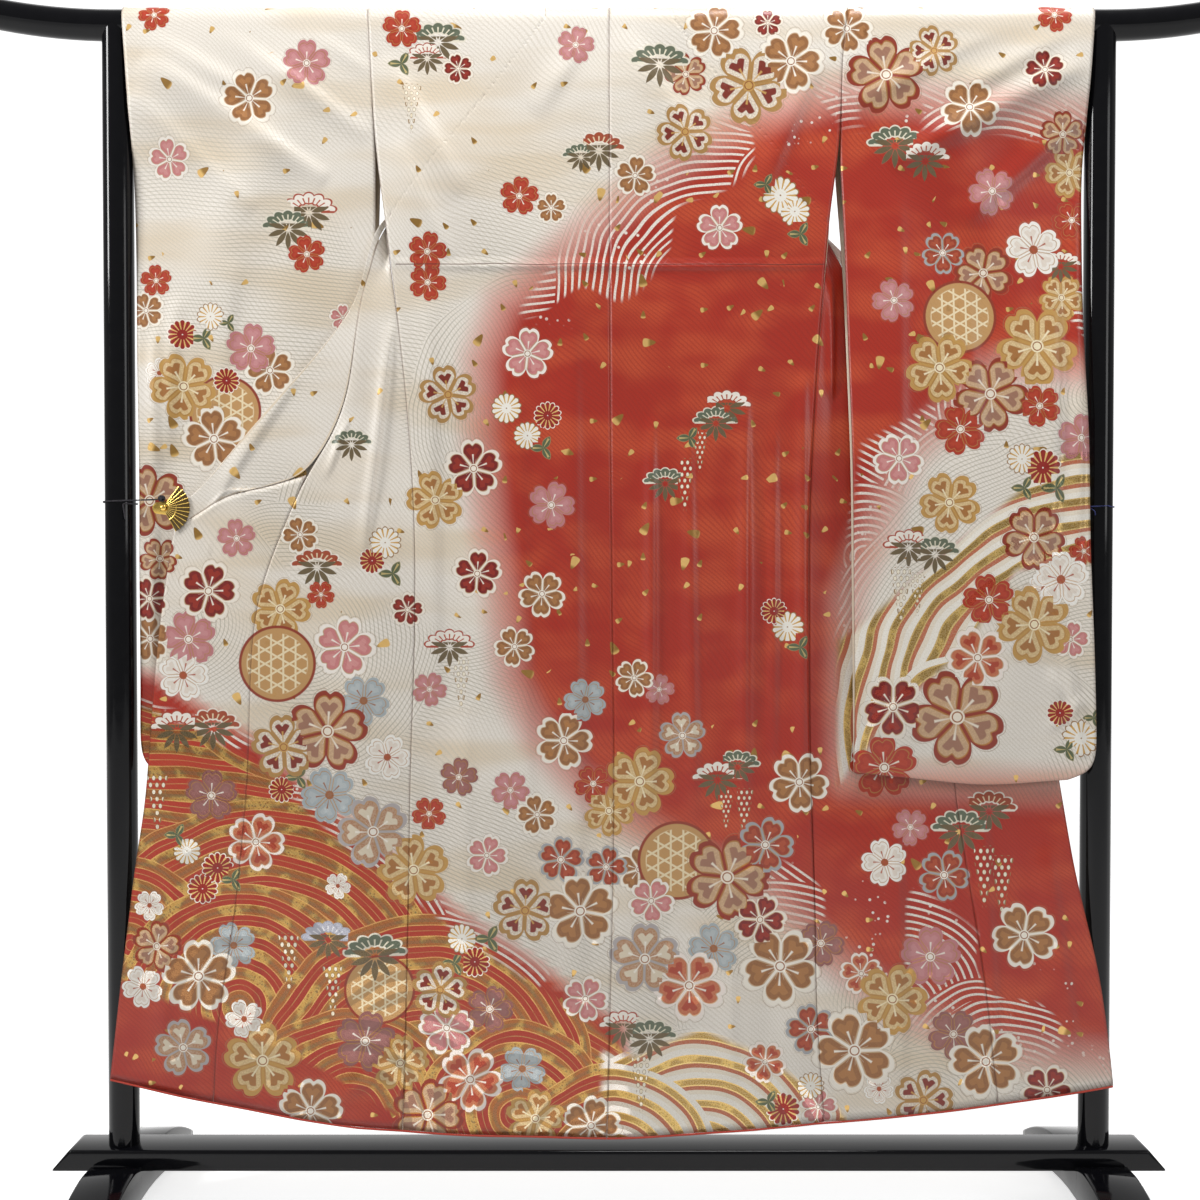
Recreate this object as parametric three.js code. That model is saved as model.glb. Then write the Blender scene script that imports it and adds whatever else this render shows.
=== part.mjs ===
// A furisode kimono hung by its sleeves over the rail of a lacquered kimono stand.
// Millimetres, +X to the right, +Y away from the side that shows the kimono's back, +Z up.
// The origin is on the floor under the middle of the stand.
import * as THREE from 'three';

// ---- driving dimensions: the stand --------------------------------------------------------
const RAIL_Z = 1660;
const RAIL_RADIUS = 21;
const RAIL_HALF_LENGTH = 950;
const RAIL_STRAIGHT = 690;
const RAIL_TIP_RISE = 40;
// Sections along the upturned half of the rail, as parts of its half length.
const RAIL_STATIONS = [1, 0.994, 0.96, 0.915, 0.865, 0.815, 0.77];
const RAIL_END_EASE = 4;
const POST_X = 686;
const POST_RADIUS = 21;
const CUP_GAP = 0.35;
const JOINT_GAP = 0.3;
const BEAM = { halfLength: 780, halfDepth: 30, bottom: 60, top: 90, chamfer: 5, endSlope: 26 };
const FOOT = {
  halfWidth: 35, halfDepth: 210, tip: 22, shoulder: 72, flat: 34, taper: 1.7, pad: 62, archRise: 22,
  ease: 3, easeIn: 2.5,
};
const ROUND_SIDES = 16;

// ---- driving dimensions: the cloth --------------------------------------------------------
const CLOTH = 1.2;
const SEAM_GAP = 0.35;
const LAYER_GAP = 0.4;
const WRAP = RAIL_RADIUS + JOINT_GAP + CLOTH / 2;
const ARMHOLE_Z = 1480;
const OKUMI_START = 1031;
const CUFF_Z = 1452;
const TUCK_Z = 1323;
const TUCK_LAP = 1.6;
const NECK_HALF = 88;
const HEM_REFERENCE = 110;
const HEM_ROLL = 3;

const lerp = (a, b, t) => a + (b - a) * t;
const clamp01 = (t) => Math.min(1, Math.max(0, t));
const smooth = (t) => clamp01(t) ** 2 * (3 - 2 * clamp01(t));
const bump = (x, centre, width) => Math.exp(-(((x - centre) / width) ** 2));
// Goes smoothly from 0 to 1 as a value goes from one place to another, up or down.
const ease = (at, from, to) => smooth((at - from) / (to - from));

// Reads one named column of a table at a value of its key column, as a smooth curve through
// the rows. The rows run upwards or downwards in the key.
function read(table, key, at, column) {
  const way = table[0][key] < table[table.length - 1][key] ? 1 : -1;
  let row = 0;
  while (row < table.length - 2 && way * (at - table[row + 1][key]) > 0) row += 1;
  const from = table[row];
  const to = table[row + 1];
  const before = table[Math.max(row - 1, 0)];
  const after = table[Math.min(row + 2, table.length - 1)];
  const span = to[key] - from[key];
  const t = (at - from[key]) / span;
  const slopeIn = (to[column] - before[column]) / (to[key] - before[key]) * span;
  const slopeOut = (after[column] - from[column]) / (after[key] - from[key]) * span;
  if (t < 0) return from[column] + t * slopeIn;
  if (t > 1) return to[column] + (t - 1) * slopeOut;
  const t2 = t * t;
  const t3 = t2 * t;
  return (2 * t3 - 3 * t2 + 1) * from[column] + (t3 - 2 * t2 + t) * slopeIn
    + (3 * t2 - 2 * t3) * to[column] + (t3 - t2) * slopeOut;
}

// ---- edges of the pieces, as x at a height z ----------------------------------------------
const LEFT_SIDE = [
  { z: 1682, x: -334 }, { z: 1480, x: -322.5 }, { z: 1433, x: -315 }, { z: 1377, x: -309 },
  { z: 1334, x: -303 }, { z: 1223, x: -290 }, { z: 1111, x: -279 }, { z: 916, x: -269 },
  { z: 581, x: -278 }, { z: 349, x: -282 }, { z: 110, x: -289 },
];
const RIGHT_SIDE = [
  { z: 1682, x: 331 }, { z: 1613, x: 322 }, { z: 1480, x: 319 }, { z: 1425, x: 308 },
  { z: 1376, x: 304 }, { z: 1139, x: 286 }, { z: 944, x: 278 }, { z: 581, x: 281 },
  { z: 402, x: 288 }, { z: 260, x: 290 }, { z: 110, x: 302 },
];
const CENTRE_BACK = [
  { z: 1682, x: 0 }, { z: 1323, x: 1 }, { z: 900, x: 4 }, { z: 581, x: 7 }, { z: 300, x: 2 },
  { z: 110, x: -3 },
];
const LEFT_OKUMI_SEAM = [
  { z: 1031, x: -419 }, { z: 960, x: -451 }, { z: 867, x: -488 }, { z: 637, x: -502 },
  { z: 581, x: -504 }, { z: 349, x: -527 }, { z: 260, x: -543 }, { z: 110, x: -552 },
];
const LEFT_OKUMI_EDGE = [
  { z: 1031, x: -592 }, { z: 958, x: -603 }, { z: 790, x: -628 }, { z: 644, x: -639 },
  { z: 581, x: -642 }, { z: 469, x: -660 }, { z: 337, x: -672 }, { z: 110, x: -697 },
];
const RIGHT_OKUMI_SEAM = [
  { z: 1031, x: 421 }, { z: 960, x: 444 }, { z: 867, x: 464 }, { z: 640, x: 479 },
  { z: 581, x: 482 }, { z: 492, x: 496 }, { z: 315, x: 521 }, { z: 110, x: 545 },
];
const RIGHT_OKUMI_EDGE = [
  { z: 1031, x: 574 }, { z: 950, x: 582 }, { z: 790, x: 602 }, { z: 581, x: 632 },
  { z: 464, x: 647 }, { z: 368, x: 667 }, { z: 279, x: 685 }, { z: 110, x: 704 },
];
// Below the armhole, where the sleeves' inner edges hang free.
const LEFT_SLEEVE_INNER = [
  { z: 1480, x: -322.5 }, { z: 1400, x: -324 }, { z: 1292, x: -325 }, { z: 612, x: -325 },
];
const LEFT_SLEEVE_OUTER = [
  { z: 1682, x: -674 }, { z: 1509, x: -664 }, { z: 1139, x: -657 }, { z: 612, x: -658 },
];
const RIGHT_SLEEVE_INNER = [
  { z: 1480, x: 319 }, { z: 1348, x: 326 },
  { z: 1139, x: 332 }, { z: 1000, x: 336 }, { z: 612, x: 340 },
];
const RIGHT_SLEEVE_OUTER = [
  { z: 1682, x: 672 }, { z: 1544, x: 663 }, { z: 1348, x: 658 }, { z: 1139, x: 660 },
  { z: 1041, x: 664 }, { z: 916, x: 667 }, { z: 730, x: 674 }, { z: 612, x: 678 },
];
// Height of the hem, by x across the spread garment.
const HEM = [
  { x: -698, z: 190 }, { x: -550, z: 157.5 }, { x: -420, z: 134 }, { x: -289, z: 116.5 },
  { x: -150, z: 109 }, { x: 0, z: 107 }, { x: 150, z: 114 }, { x: 302, z: 127.6 },
  { x: 425, z: 141 }, { x: 544, z: 154 }, { x: 704, z: 181 },
];
// Height of the sleeves' bottom edges.
const SLEEVE_BOTTOM = {
  left: [{ x: -658, z: 612 }, { x: -550, z: 610 }, { x: -325, z: 616 }],
  right: [{ x: 340, z: 619 }, { x: 453, z: 609 }, { x: 550, z: 602 }, { x: 678, z: 609 }],
};
const SLEEVE_CORNER = 42;

// ---- depth of the hanging layers ------------------------------------------------------------
// A fold runs upwards from x at FOLD_BASE, moves aside by lean for each millimetre, and stands
// out from its layer by depth.
const FOLD_BASE = 600;
const foldsAt = (table, x, z) => table.reduce((sum, fold) => (
  sum + fold.depth * bump(x, fold.x + (fold.lean ?? 0) * (z - FOLD_BASE), fold.width)
), 0);

const BACK_FOLDS = [
  { x: 52, lean: 0.02, width: 17, depth: -5 }, { x: 84, width: 20, depth: 4 },
  { x: 116, width: 18, depth: -5 }, { x: 196, width: 20, depth: -7 },
  { x: 230, width: 18, depth: 5 }, { x: 262, width: 16, depth: -5 },
  { x: -70, width: 26, depth: -5 }, { x: -168, width: 30, depth: -4 },
  { x: -230, width: 24, depth: 3 },
];
const SHOULDER_FOLDS = [
  { x: -718, lean: 0.55, width: 60, depth: -6 }, { x: 620, lean: -0.5, width: 55, depth: 5 },
];
function backDrape(x, z) {
  const hanging = ease(z, 1600, 1380) * ease(z, 60, 320);
  const upright = ease(z, 1300, 800) * foldsAt(BACK_FOLDS, x, z);
  return hanging * (upright + ease(z, 1250, 1370) * foldsAt(SHOULDER_FOLDS, x, z));
}

// A sleeve's middle surface and half the distance between its two walls.
const SLEEVES = {
  left: {
    sign: -1, inner: LEFT_SLEEVE_INNER, outer: LEFT_SLEEVE_OUTER, bottom: SLEEVE_BOTTOM.left,
    shift: -6, shiftEnd: 1250,
  },
  right: {
    sign: 1, inner: RIGHT_SLEEVE_INNER, outer: RIGHT_SLEEVE_OUTER, bottom: SLEEVE_BOTTOM.right,
    shift: -30, shiftEnd: 1060,
  },
};
const sleeveCentre = (s, z) => s.shift * ease(z, ARMHOLE_Z, s.shiftEnd);
const SLEEVE_HOLLOW = 8;
const HOLLOW_Z = 1250;
const sleeveOpenHalf = (z) => lerp(WRAP, SLEEVE_HOLLOW, ease(z, ARMHOLE_Z, HOLLOW_Z));
// Along its sewn edges the sleeve's two walls lie this far either side of its middle.
const CLOSED_HALF = CLOTH / 2 + 0.4;
const BOTTOM_BULGE = 110;

function sleeveHalf(z, u, low) {
  const edge = lerp(sleeveOpenHalf(z), CLOSED_HALF, ease(z, 1545, CUFF_Z));
  const across = lerp(sleeveOpenHalf(z), edge, ease(u, 0.35, 1));
  return lerp(across, CLOSED_HALF, ease(low, BOTTOM_BULGE, 0));
}

// Folds of a sleeve, by distance from the middle of the stand.
const ELBOW_FOLDS = [
  { x: 848, lean: -0.42, width: 34, depth: -6 }, { x: 788, lean: -0.42, width: 30, depth: 5 },
];
const SLEEVE_FOLDS = [
  { x: 420, width: 28, depth: -4 }, { x: 480, width: 26, depth: 3 }, { x: 560, width: 30, depth: -4 },
];
function sleeveDrape(out, z) {
  const upper = ease(z, 1610, 1490) * ease(z, 1000, 1160) * foldsAt(ELBOW_FOLDS, out, z);
  const lower = ease(z, 1250, 950) * ease(z, 640, 760) * foldsAt(SLEEVE_FOLDS, out, z);
  return upper + lower;
}

// Depth of the two fronts where they are spread outside the side seams.
const LEFT_FRONT_FOLDS = [
  { x: -352, width: 14, depth: -5 }, { x: -395, width: 20, depth: 3 },
  { x: -440, width: 22, depth: -4 }, { x: -590, width: 20, depth: -4 },
];
const LEFT_PLEAT = [{ x: -352, width: 13, depth: -6 }];
function leftFrontDepth(x, z) {
  const forward = -5 * smooth((read(LEFT_SIDE, 'z', z, 'x') - x) / 60);
  const low = ease(z, 930, 630) * ease(z, 60, 300) * foldsAt(LEFT_FRONT_FOLDS, x, z);
  const pleat = ease(z, 1250, 1170) * ease(z, 930, 1050) * foldsAt(LEFT_PLEAT, x, z);
  return -WRAP + forward + low + pleat;
}

// The right front hangs behind the sleeve and comes forward below it.
const RIGHT_FRONT_FOLDS = [
  { x: 372, width: 20, depth: -4 }, { x: 430, width: 22, depth: 3 },
  { x: 600, width: 24, depth: -4 },
];
function rightFrontDepth(x, z) {
  const s = SLEEVES.right;
  const behind = sleeveCentre(s, z) + sleeveOpenHalf(z) + 6.5;
  const outside = lerp(-WRAP - 3, behind, ease(z, 470, 640));
  const past = smooth((x - read(RIGHT_SIDE, 'z', z, 'x')) / 28);
  const low = ease(z, 560, 440) * ease(z, 60, 300) * foldsAt(RIGHT_FRONT_FOLDS, x, z);
  return lerp(-WRAP, outside, past) + low;
}

// The back's height at a nominal height: the lower third follows the curve of the hem.
const atHem = (x, z) => z + (read(HEM, 'x', x, 'z') - HEM_REFERENCE) * smooth((700 - z) / 590);

// ---- making closed walls from grids ---------------------------------------------------------
// Turns rows of middle-surface points into a closed wall. shift moves it along its normal, part
// picks the rows and columns [from, to) that the wall covers, and from the row foldedFrom on its
// squares are split the other way, so that both halves of a folded piece have the same facets.
function wall(rows, {
  thickness = CLOTH, shift = 0, part = { rows: [0], columns: [0] }, foldedFrom = Infinity,
} = {}) {
  const at = (j, i) => {
    const row = rows[Math.min(Math.max(j, 0), rows.length - 1)];
    return row[Math.min(Math.max(i, 0), row.length - 1)];
  };
  const normals = rows.map((row, j) => row.map((point, i) => {
    const across = new THREE.Vector3().subVectors(at(j, i + 1), at(j, i - 1)).normalize();
    const along = new THREE.Vector3().subVectors(at(j + 1, i), at(j - 1, i)).normalize();
    return new THREE.Vector3().crossVectors(across, along).normalize();
  }));
  const cut = (grid) => grid.slice(...part.rows).map((row) => row.slice(...part.columns));
  const points = cut(rows);
  const outward = cut(normals);
  const nv = points.length;
  const nu = points[0].length;
  const positions = [];
  for (const side of [shift + thickness / 2, shift - thickness / 2]) {
    points.forEach((row, j) => row.forEach((point, i) => {
      positions.push(...point.clone().addScaledVector(outward[j][i], side).toArray());
    }));
  }
  const faces = [];
  const back = nv * nu;
  const quad = (a, b, c, d) => faces.push(a, b, c, a, c, d);
  for (let j = 0; j < nv - 1; j += 1) {
    for (let i = 0; i < nu - 1; i += 1) {
      const a = j * nu + i;
      const square = [a, a + 1, a + nu + 1, a + nu];
      if (j >= foldedFrom) square.push(square.shift());
      quad(...square);
      quad(...[square[2], square[1], square[0], square[3]].map((corner) => back + corner));
    }
    const left = j * nu;
    const right = left + nu - 1;
    quad(left, left + nu, back + left + nu, back + left);
    quad(right + nu, right, back + right, back + right + nu);
  }
  for (let i = 0; i < nu - 1; i += 1) {
    const top = (nv - 1) * nu + i;
    quad(i + 1, i, back + i, back + i + 1);
    quad(top, top + 1, back + top + 1, back + top);
  }
  return solid(positions, faces);
}

function solid(positions, faces) {
  const geometry = new THREE.BufferGeometry();
  geometry.setAttribute('position', new THREE.Float32BufferAttribute(positions, 3));
  geometry.setIndex(faces);
  geometry.computeVertexNormals();
  return geometry;
}

// The faces between closed rings of n points each, with the first ring closed flat.
function sideFaces(ringCount, n) {
  const faces = [];
  for (let j = 0; j < ringCount - 1; j += 1) {
    for (let i = 0; i < n; i += 1) {
      const k = (i + 1) % n;
      faces.push(j * n + i, j * n + k, (j + 1) * n + k, j * n + i, (j + 1) * n + k, (j + 1) * n + i);
    }
  }
  for (let i = 1; i < n - 1; i += 1) faces.push(0, i + 1, i);
  return faces;
}

// Joins rings of equal length into a tube with flat ends.
function tube(rings) {
  const n = rings[0].length;
  const faces = sideFaces(rings.length, n);
  const end = (rings.length - 1) * n;
  for (let i = 1; i < n - 1; i += 1) faces.push(end, end + i, end + i + 1);
  return solid(rings.flat().flatMap((p) => p.toArray()), faces);
}

const onCircle = (angle, radius) => [radius * Math.cos(angle), radius * Math.sin(angle)];
const roundSection = (radius, sides = ROUND_SIDES) => Array.from(
  { length: sides },
  (_, i) => onCircle((i / sides) * 2 * Math.PI, radius),
);

// ---- the stand --------------------------------------------------------------------------------
function rail() {
  const upturned = RAIL_STATIONS.map((part) => ({
    x: -part * RAIL_HALF_LENGTH,
    radius: part === 1 ? RAIL_RADIUS - RAIL_END_EASE : RAIL_RADIUS,
  }));
  upturned.push({ x: -RAIL_STRAIGHT, radius: RAIL_RADIUS });
  const stations = [...upturned, ...upturned.toReversed().map((s) => ({ ...s, x: -s.x }))];
  return tube(stations.map(({ x, radius }) => {
    const past = Math.max(0, Math.abs(x) - RAIL_STRAIGHT) / (RAIL_HALF_LENGTH - RAIL_STRAIGHT);
    return roundSection(radius).map(
      ([y, z]) => new THREE.Vector3(x, y, RAIL_Z + RAIL_TIP_RISE * past ** 2 + z),
    );
  }));
}

// A round post whose top is hollowed to cup the rail.
function post(x) {
  const n = ROUND_SIDES;
  const cup = (dy) => RAIL_Z - Math.sqrt((RAIL_RADIUS + CUP_GAP) ** 2 - dy ** 2);
  const heights = [() => BEAM.top + JOINT_GAP, () => RAIL_Z / 2, cup];
  const rings = heights.map((height) => roundSection(POST_RADIUS).map(
    ([dx, dy]) => new THREE.Vector3(x + dx, dy, height(dy)),
  ));
  const faces = sideFaces(rings.length, n);
  // Points that face each other across the post's front-to-back plane share a height.
  const top = (rings.length - 1) * n;
  const around = (i) => top + ((i + n) % n);
  const across = (i) => around(n / 2 - i);
  for (let i = -n / 4; i < n / 4; i += 1) {
    const [a, b, c, d] = [around(i), around(i + 1), across(i + 1), across(i)];
    if (a !== d) faces.push(a, b, d);
    if (b !== c) faces.push(b, c, d);
  }
  return solid(rings.flat().flatMap((p) => p.toArray()), faces);
}

// The beam lies across both feet, with eased top edges and ends that lean outwards to the floor.
function baseBeam() {
  const { halfLength, halfDepth, bottom, top, chamfer, endSlope } = BEAM;
  const section = (x, lean) => [
    [-halfDepth, bottom], [halfDepth, bottom], [halfDepth, top - chamfer],
    [halfDepth - chamfer, top], [chamfer - halfDepth, top], [-halfDepth, top - chamfer],
  ].map(([y, z]) => new THREE.Vector3(x + lean * ((z - bottom) / (top - bottom)), y, z));
  return tube([section(-halfLength, endSlope), section(halfLength, -endSlope)]);
}

// One foot: a board on edge, notched for the beam, with an arched underside.
function foot(x) {
  const { halfWidth, halfDepth, tip, shoulder, flat, taper, pad, archRise, ease: edge, easeIn } = FOOT;
  const slot = BEAM.halfDepth + JOINT_GAP;
  const from = slot + flat;
  const profile = [[slot, BEAM.bottom - JOINT_GAP], [slot, shoulder], [from, shoulder]];
  for (let i = 1; i <= 6; i += 1) {
    const t = i / 6;
    profile.push([lerp(from, halfDepth, t), shoulder - (shoulder - tip) * t ** taper]);
  }
  profile.push([halfDepth, 0], [halfDepth - pad, 0]);
  for (let i = 1; i <= 3; i += 1) {
    const t = i / 3;
    profile.push([(halfDepth - pad) * (1 - t), archRise * Math.sin((t * Math.PI) / 2)]);
  }
  const mirrored = profile.slice(0, -1).toReversed().map(([y, z]) => [-y, z]);
  const shape = new THREE.Shape([...profile, ...mirrored].map(([y, z]) => new THREE.Vector2(y, z)));
  const geometry = new THREE.ExtrudeGeometry(shape, {
    depth: 2 * (halfWidth - edge), bevelEnabled: true, bevelThickness: edge, bevelSize: easeIn,
    bevelOffset: -easeIn, bevelSegments: 1,
  });
  // The board's length runs along Y and its thickness along X.
  geometry.applyMatrix4(new THREE.Matrix4().set(0, 0, 1, 0, 1, 0, 0, 0, 0, 1, 0, 0, 0, 0, 0, 1));
  geometry.translate(x - halfWidth + edge, 0, 0);
  return geometry;
}

// ---- the body: one length of cloth from the back hem over the shoulder to the front hem --------
const BODY_COLUMNS = 9;
// Below the gaps under the sleeves, the back's rows and the fronts' rows share these heights.
const SHARED_HEIGHTS = [HEM_REFERENCE, 200, 300, 400, 500, 600, 690, 780, 867, 960, OKUMI_START,
  1083, 1139, 1195, 1266];
const BACK_HEIGHTS = [...SHARED_HEIGHTS, TUCK_Z - 2, TUCK_Z + 2, 1400, ARMHOLE_Z, 1560, 1615];
const RAIL_STEPS = 8;
// Angles of the body's rows round the rail. The neck is cut from NECK_TURN towards the front.
const NECK_TURN = 69.5;
const BODY_TURNS = [180, 157.5, 135, 112.5, 90, NECK_TURN, 67.5, 45, 22.5, 0];

// Rows of the left front from the rail down: a on the armhole and side seam, b on the collar
// and okumi seam, and how far the middle of the row bellies out (m) where it is gathered.
const LEFT_FRONT = [
  { ax: -331, ay: 21.9, az: 1615, bx: -143, by: 21.9, bz: 1594, mx: 0, my: 1, mz: 0 },
  { ax: -328, ay: 21.9, az: 1560, bx: -202, by: 19, bz: 1518, mx: 0, my: 4, mz: -10 },
  { ax: -322.5, ay: 21.9, az: 1480, bx: -262, by: 10, bz: 1446, mx: 4, my: 6, mz: -14 },
  { ax: -317, ay: 8, az: 1425, bx: -296, by: -2, bz: 1402, mx: 9, my: 7, mz: -18 },
  { ax: -311.5, ay: -11, az: 1380, bx: -315, by: -13.5, bz: 1371, mx: 12, my: 11, mz: -16 },
  { ax: -307.6, ay: -20.2, az: 1355, bx: -325, by: -20, bz: 1343, mx: 8, my: 7, mz: -14 },
  { ax: -303.6, ay: -21.9, az: 1326, bx: -331, by: -24, bz: 1316, mx: 2, my: 4, mz: -8 },
];
// Where the left front's pleat overlaps the collar, below the gap.
const LEFT_RIDGE = [
  { z: 1266, x: -345.5 }, { z: 1195, x: -353 }, { z: 1139, x: -362 }, { z: 1083, x: -384 },
  { z: 1062, x: -396 }, { z: 1031, x: -419 },
];
const RIGHT_FRONT = [
  { ax: 322, ay: 21.9, az: 1615, bx: 143, by: 21.9, bz: 1594, mx: 0, my: 1, mz: 0 },
  { ax: 321, ay: 21.9, az: 1560, bx: 202, by: 23, bz: 1518, mx: 0, my: 4, mz: -8 },
  { ax: 319, ay: 21.9, az: 1480, bx: 256, by: 26, bz: 1450, mx: -6, my: 4, mz: -15 },
  { ax: 312, ay: 8, az: 1425, bx: 288, by: 24, bz: 1402, mx: -11, my: 0, mz: -14 },
  { ax: 306, ay: -11, az: 1384, bx: 306, by: 19, bz: 1368, mx: -14, my: -2, mz: -12 },
  { ax: 303.6, ay: -20, az: 1352, bx: 326, by: 13, bz: 1333, mx: -10, my: -2, mz: -6 },
];
const RIGHT_RIDGE = [
  { z: 1266, x: 352 }, { z: 1195, x: 366 }, { z: 1139, x: 379 }, { z: 1083, x: 400 },
  { z: 1031, x: 421 },
];

// One row of a front between its two edges, as a curve that bellies towards m.
function gatheredRow(row, columns) {
  return Array.from({ length: columns + 1 }, (_, i) => {
    const u = i / columns;
    const belly = 4 * u * (1 - u);
    return new THREE.Vector3(
      lerp(row.ax, row.bx, u) + belly * row.mx,
      lerp(row.ay, row.by, u) + belly * row.my,
      lerp(row.az, row.bz, u) + belly * row.mz,
    );
  });
}

function bodyRows(sign) {
  const side = sign < 0 ? LEFT_SIDE : RIGHT_SIDE;
  const ridge = sign < 0 ? LEFT_RIDGE : RIGHT_RIDGE;
  const okumiSeam = sign < 0 ? LEFT_OKUMI_SEAM : RIGHT_OKUMI_SEAM;
  const gathered = sign < 0 ? LEFT_FRONT : RIGHT_FRONT;
  const depth = sign < 0 ? leftFrontDepth : rightFrontDepth;
  const half = SEAM_GAP / 2;
  const rows = [];
  for (const z of BACK_HEIGHTS) {
    const outer = read(side, 'z', z, 'x') - sign * half;
    const inner = read(CENTRE_BACK, 'z', z, 'x') + sign * half;
    const tuck = z > TUCK_Z ? -TUCK_LAP * ease(z, 1600, 1480) : 0;
    rows.push(Array.from({ length: BODY_COLUMNS + 1 }, (_, i) => {
      const x = lerp(outer, inner, i / BODY_COLUMNS);
      return new THREE.Vector3(x, -WRAP + tuck + backDrape(x, z), atHem(x, z));
    }));
  }
  for (const turn of BODY_TURNS) {
    const angle = (turn / 180) * Math.PI;
    const outer = read(side, 'z', RAIL_Z + WRAP * Math.sin(angle), 'x') - sign * half;
    const inner = turn < NECK_TURN ? sign * NECK_HALF : sign * half;
    rows.push(Array.from({ length: BODY_COLUMNS + 1 }, (_, i) => new THREE.Vector3(
      lerp(outer, inner, i / BODY_COLUMNS),
      WRAP * Math.cos(angle),
      RAIL_Z + WRAP * Math.sin(angle),
    )));
  }
  for (const row of gathered) {
    const sewn = row.az >= ARMHOLE_Z ? read(side, 'z', row.az, 'x') : row.ax;
    rows.push(gatheredRow({ ...row, ax: sewn - sign * half }, BODY_COLUMNS));
  }
  for (const z of SHARED_HEIGHTS.toReversed()) {
    const seam = z > OKUMI_START ? read(ridge, 'z', z, 'x') : read(okumiSeam, 'z', z, 'x');
    const from = read(side, 'z', z, 'x') + sign * half;
    rows.push(Array.from({ length: BODY_COLUMNS + 1 }, (_, i) => {
      const x = lerp(from, seam - sign * half, i / BODY_COLUMNS);
      return new THREE.Vector3(x, depth(x, z), atHem(x, z));
    }));
  }
  return sign < 0 ? rows : rows.map((row) => row.toReversed());
}

// ---- okumi: the narrow overlap panels -----------------------------------------------------------
const OKUMI_COLUMNS = 5;
const OKUMI_TOP = [{ u: 0, z: OKUMI_START }, { u: 0.34, z: 1011 }, { u: 0.6, z: 1004 }, { u: 0.82, z: 975 },
  { u: 1, z: 958 }];

function okumiPoint(sign, u, v) {
  const seam = sign < 0 ? LEFT_OKUMI_SEAM : RIGHT_OKUMI_SEAM;
  const edge = sign < 0 ? LEFT_OKUMI_EDGE : RIGHT_OKUMI_EDGE;
  const depth = sign < 0 ? leftFrontDepth : rightFrontDepth;
  const z = lerp(read(OKUMI_TOP, 'u', u, 'z'), HEM_REFERENCE, v);
  const x = lerp(read(seam, 'z', z, 'x') + sign * SEAM_GAP / 2, read(edge, 'z', z, 'x'), u);
  return new THREE.Vector3(x, depth(x, z), atHem(x, z));
}

function okumi(sign) {
  const levels = SHARED_HEIGHTS.filter((z) => z <= OKUMI_START)
    .map((z) => (OKUMI_START - z) / (OKUMI_START - HEM_REFERENCE));
  const rows = levels.map((v) => Array.from(
    { length: OKUMI_COLUMNS + 1 },
    (_, i) => okumiPoint(sign, i / OKUMI_COLUMNS, v),
  ));
  return wall(sign < 0 ? rows.map((row) => row.toReversed()) : rows);
}

// ---- sleeves ---------------------------------------------------------------------------------------
const SLEEVE_COLUMNS = 9;
// Levels of a sleeve's rows from its bottom to the armhole's end, then heights up to the rail.
const SLEEVE_LEVELS = [0, 0.01, 0.025, 0.05, 0.11, 0.2, 0.31, 0.42, 0.53, 0.63, 0.73, 0.82, 0.89,
  0.95];
const SLEEVE_HEIGHTS = [1480, 1560, 1615];

function sleeveSpan(side, z) {
  const s = SLEEVES[side];
  const sewn = side === 'left' ? LEFT_SIDE : RIGHT_SIDE;
  const inner = read(z >= ARMHOLE_Z ? sewn : s.inner, 'z', z, 'x');
  return { inner: inner + s.sign * SEAM_GAP / 2, outer: read(s.outer, 'z', z, 'x') };
}

function sleevePoint(side, u, place, face) {
  const s = SLEEVES[side];
  const bottomX = lerp(s.inner.at(-1).x, s.outer.at(-1).x, u);
  const bottom = read(s.bottom, 'x', bottomX, 'z');
  const z = place <= 1 ? lerp(bottom, ARMHOLE_Z, place) : place;
  const { inner, outer } = sleeveSpan(side, z);
  // The bottom outer corner is rounded: the outer edge draws in over the corner's height.
  const into = clamp01(1 - (z - bottom) / SLEEVE_CORNER);
  const drawn = SLEEVE_CORNER * (1 - Math.sqrt(1 - into ** 2));
  const x = lerp(inner, outer - s.sign * drawn, u);
  const y = sleeveCentre(s, z) + face * sleeveHalf(z, u, z - bottom) + sleeveDrape(s.sign * x, z);
  return new THREE.Vector3(x, y, z);
}

function sleeve(side) {
  const rows = [];
  const columns = Array.from({ length: SLEEVE_COLUMNS + 1 }, (_, i) => i / SLEEVE_COLUMNS);
  const places = [...SLEEVE_LEVELS, ...SLEEVE_HEIGHTS];
  for (const place of places) {
    rows.push(columns.map((u) => sleevePoint(side, u, place, -1)));
  }
  for (let k = 0; k <= RAIL_STEPS; k += 1) {
    const angle = Math.PI * (1 - k / RAIL_STEPS);
    const z = RAIL_Z + WRAP * Math.sin(angle);
    const { inner, outer } = sleeveSpan(side, z);
    const y = WRAP * Math.cos(angle);
    rows.push(columns.map((u) => new THREE.Vector3(lerp(inner, outer, u), y, z)));
  }
  for (const place of places.toReversed()) {
    rows.push(columns.map((u) => sleevePoint(side, u, place, 1)));
  }
  return wall(side === 'left' ? rows.map((row) => row.toReversed()) : rows, {
    foldedFrom: (rows.length - 1) / 2,
  });
}

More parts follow.
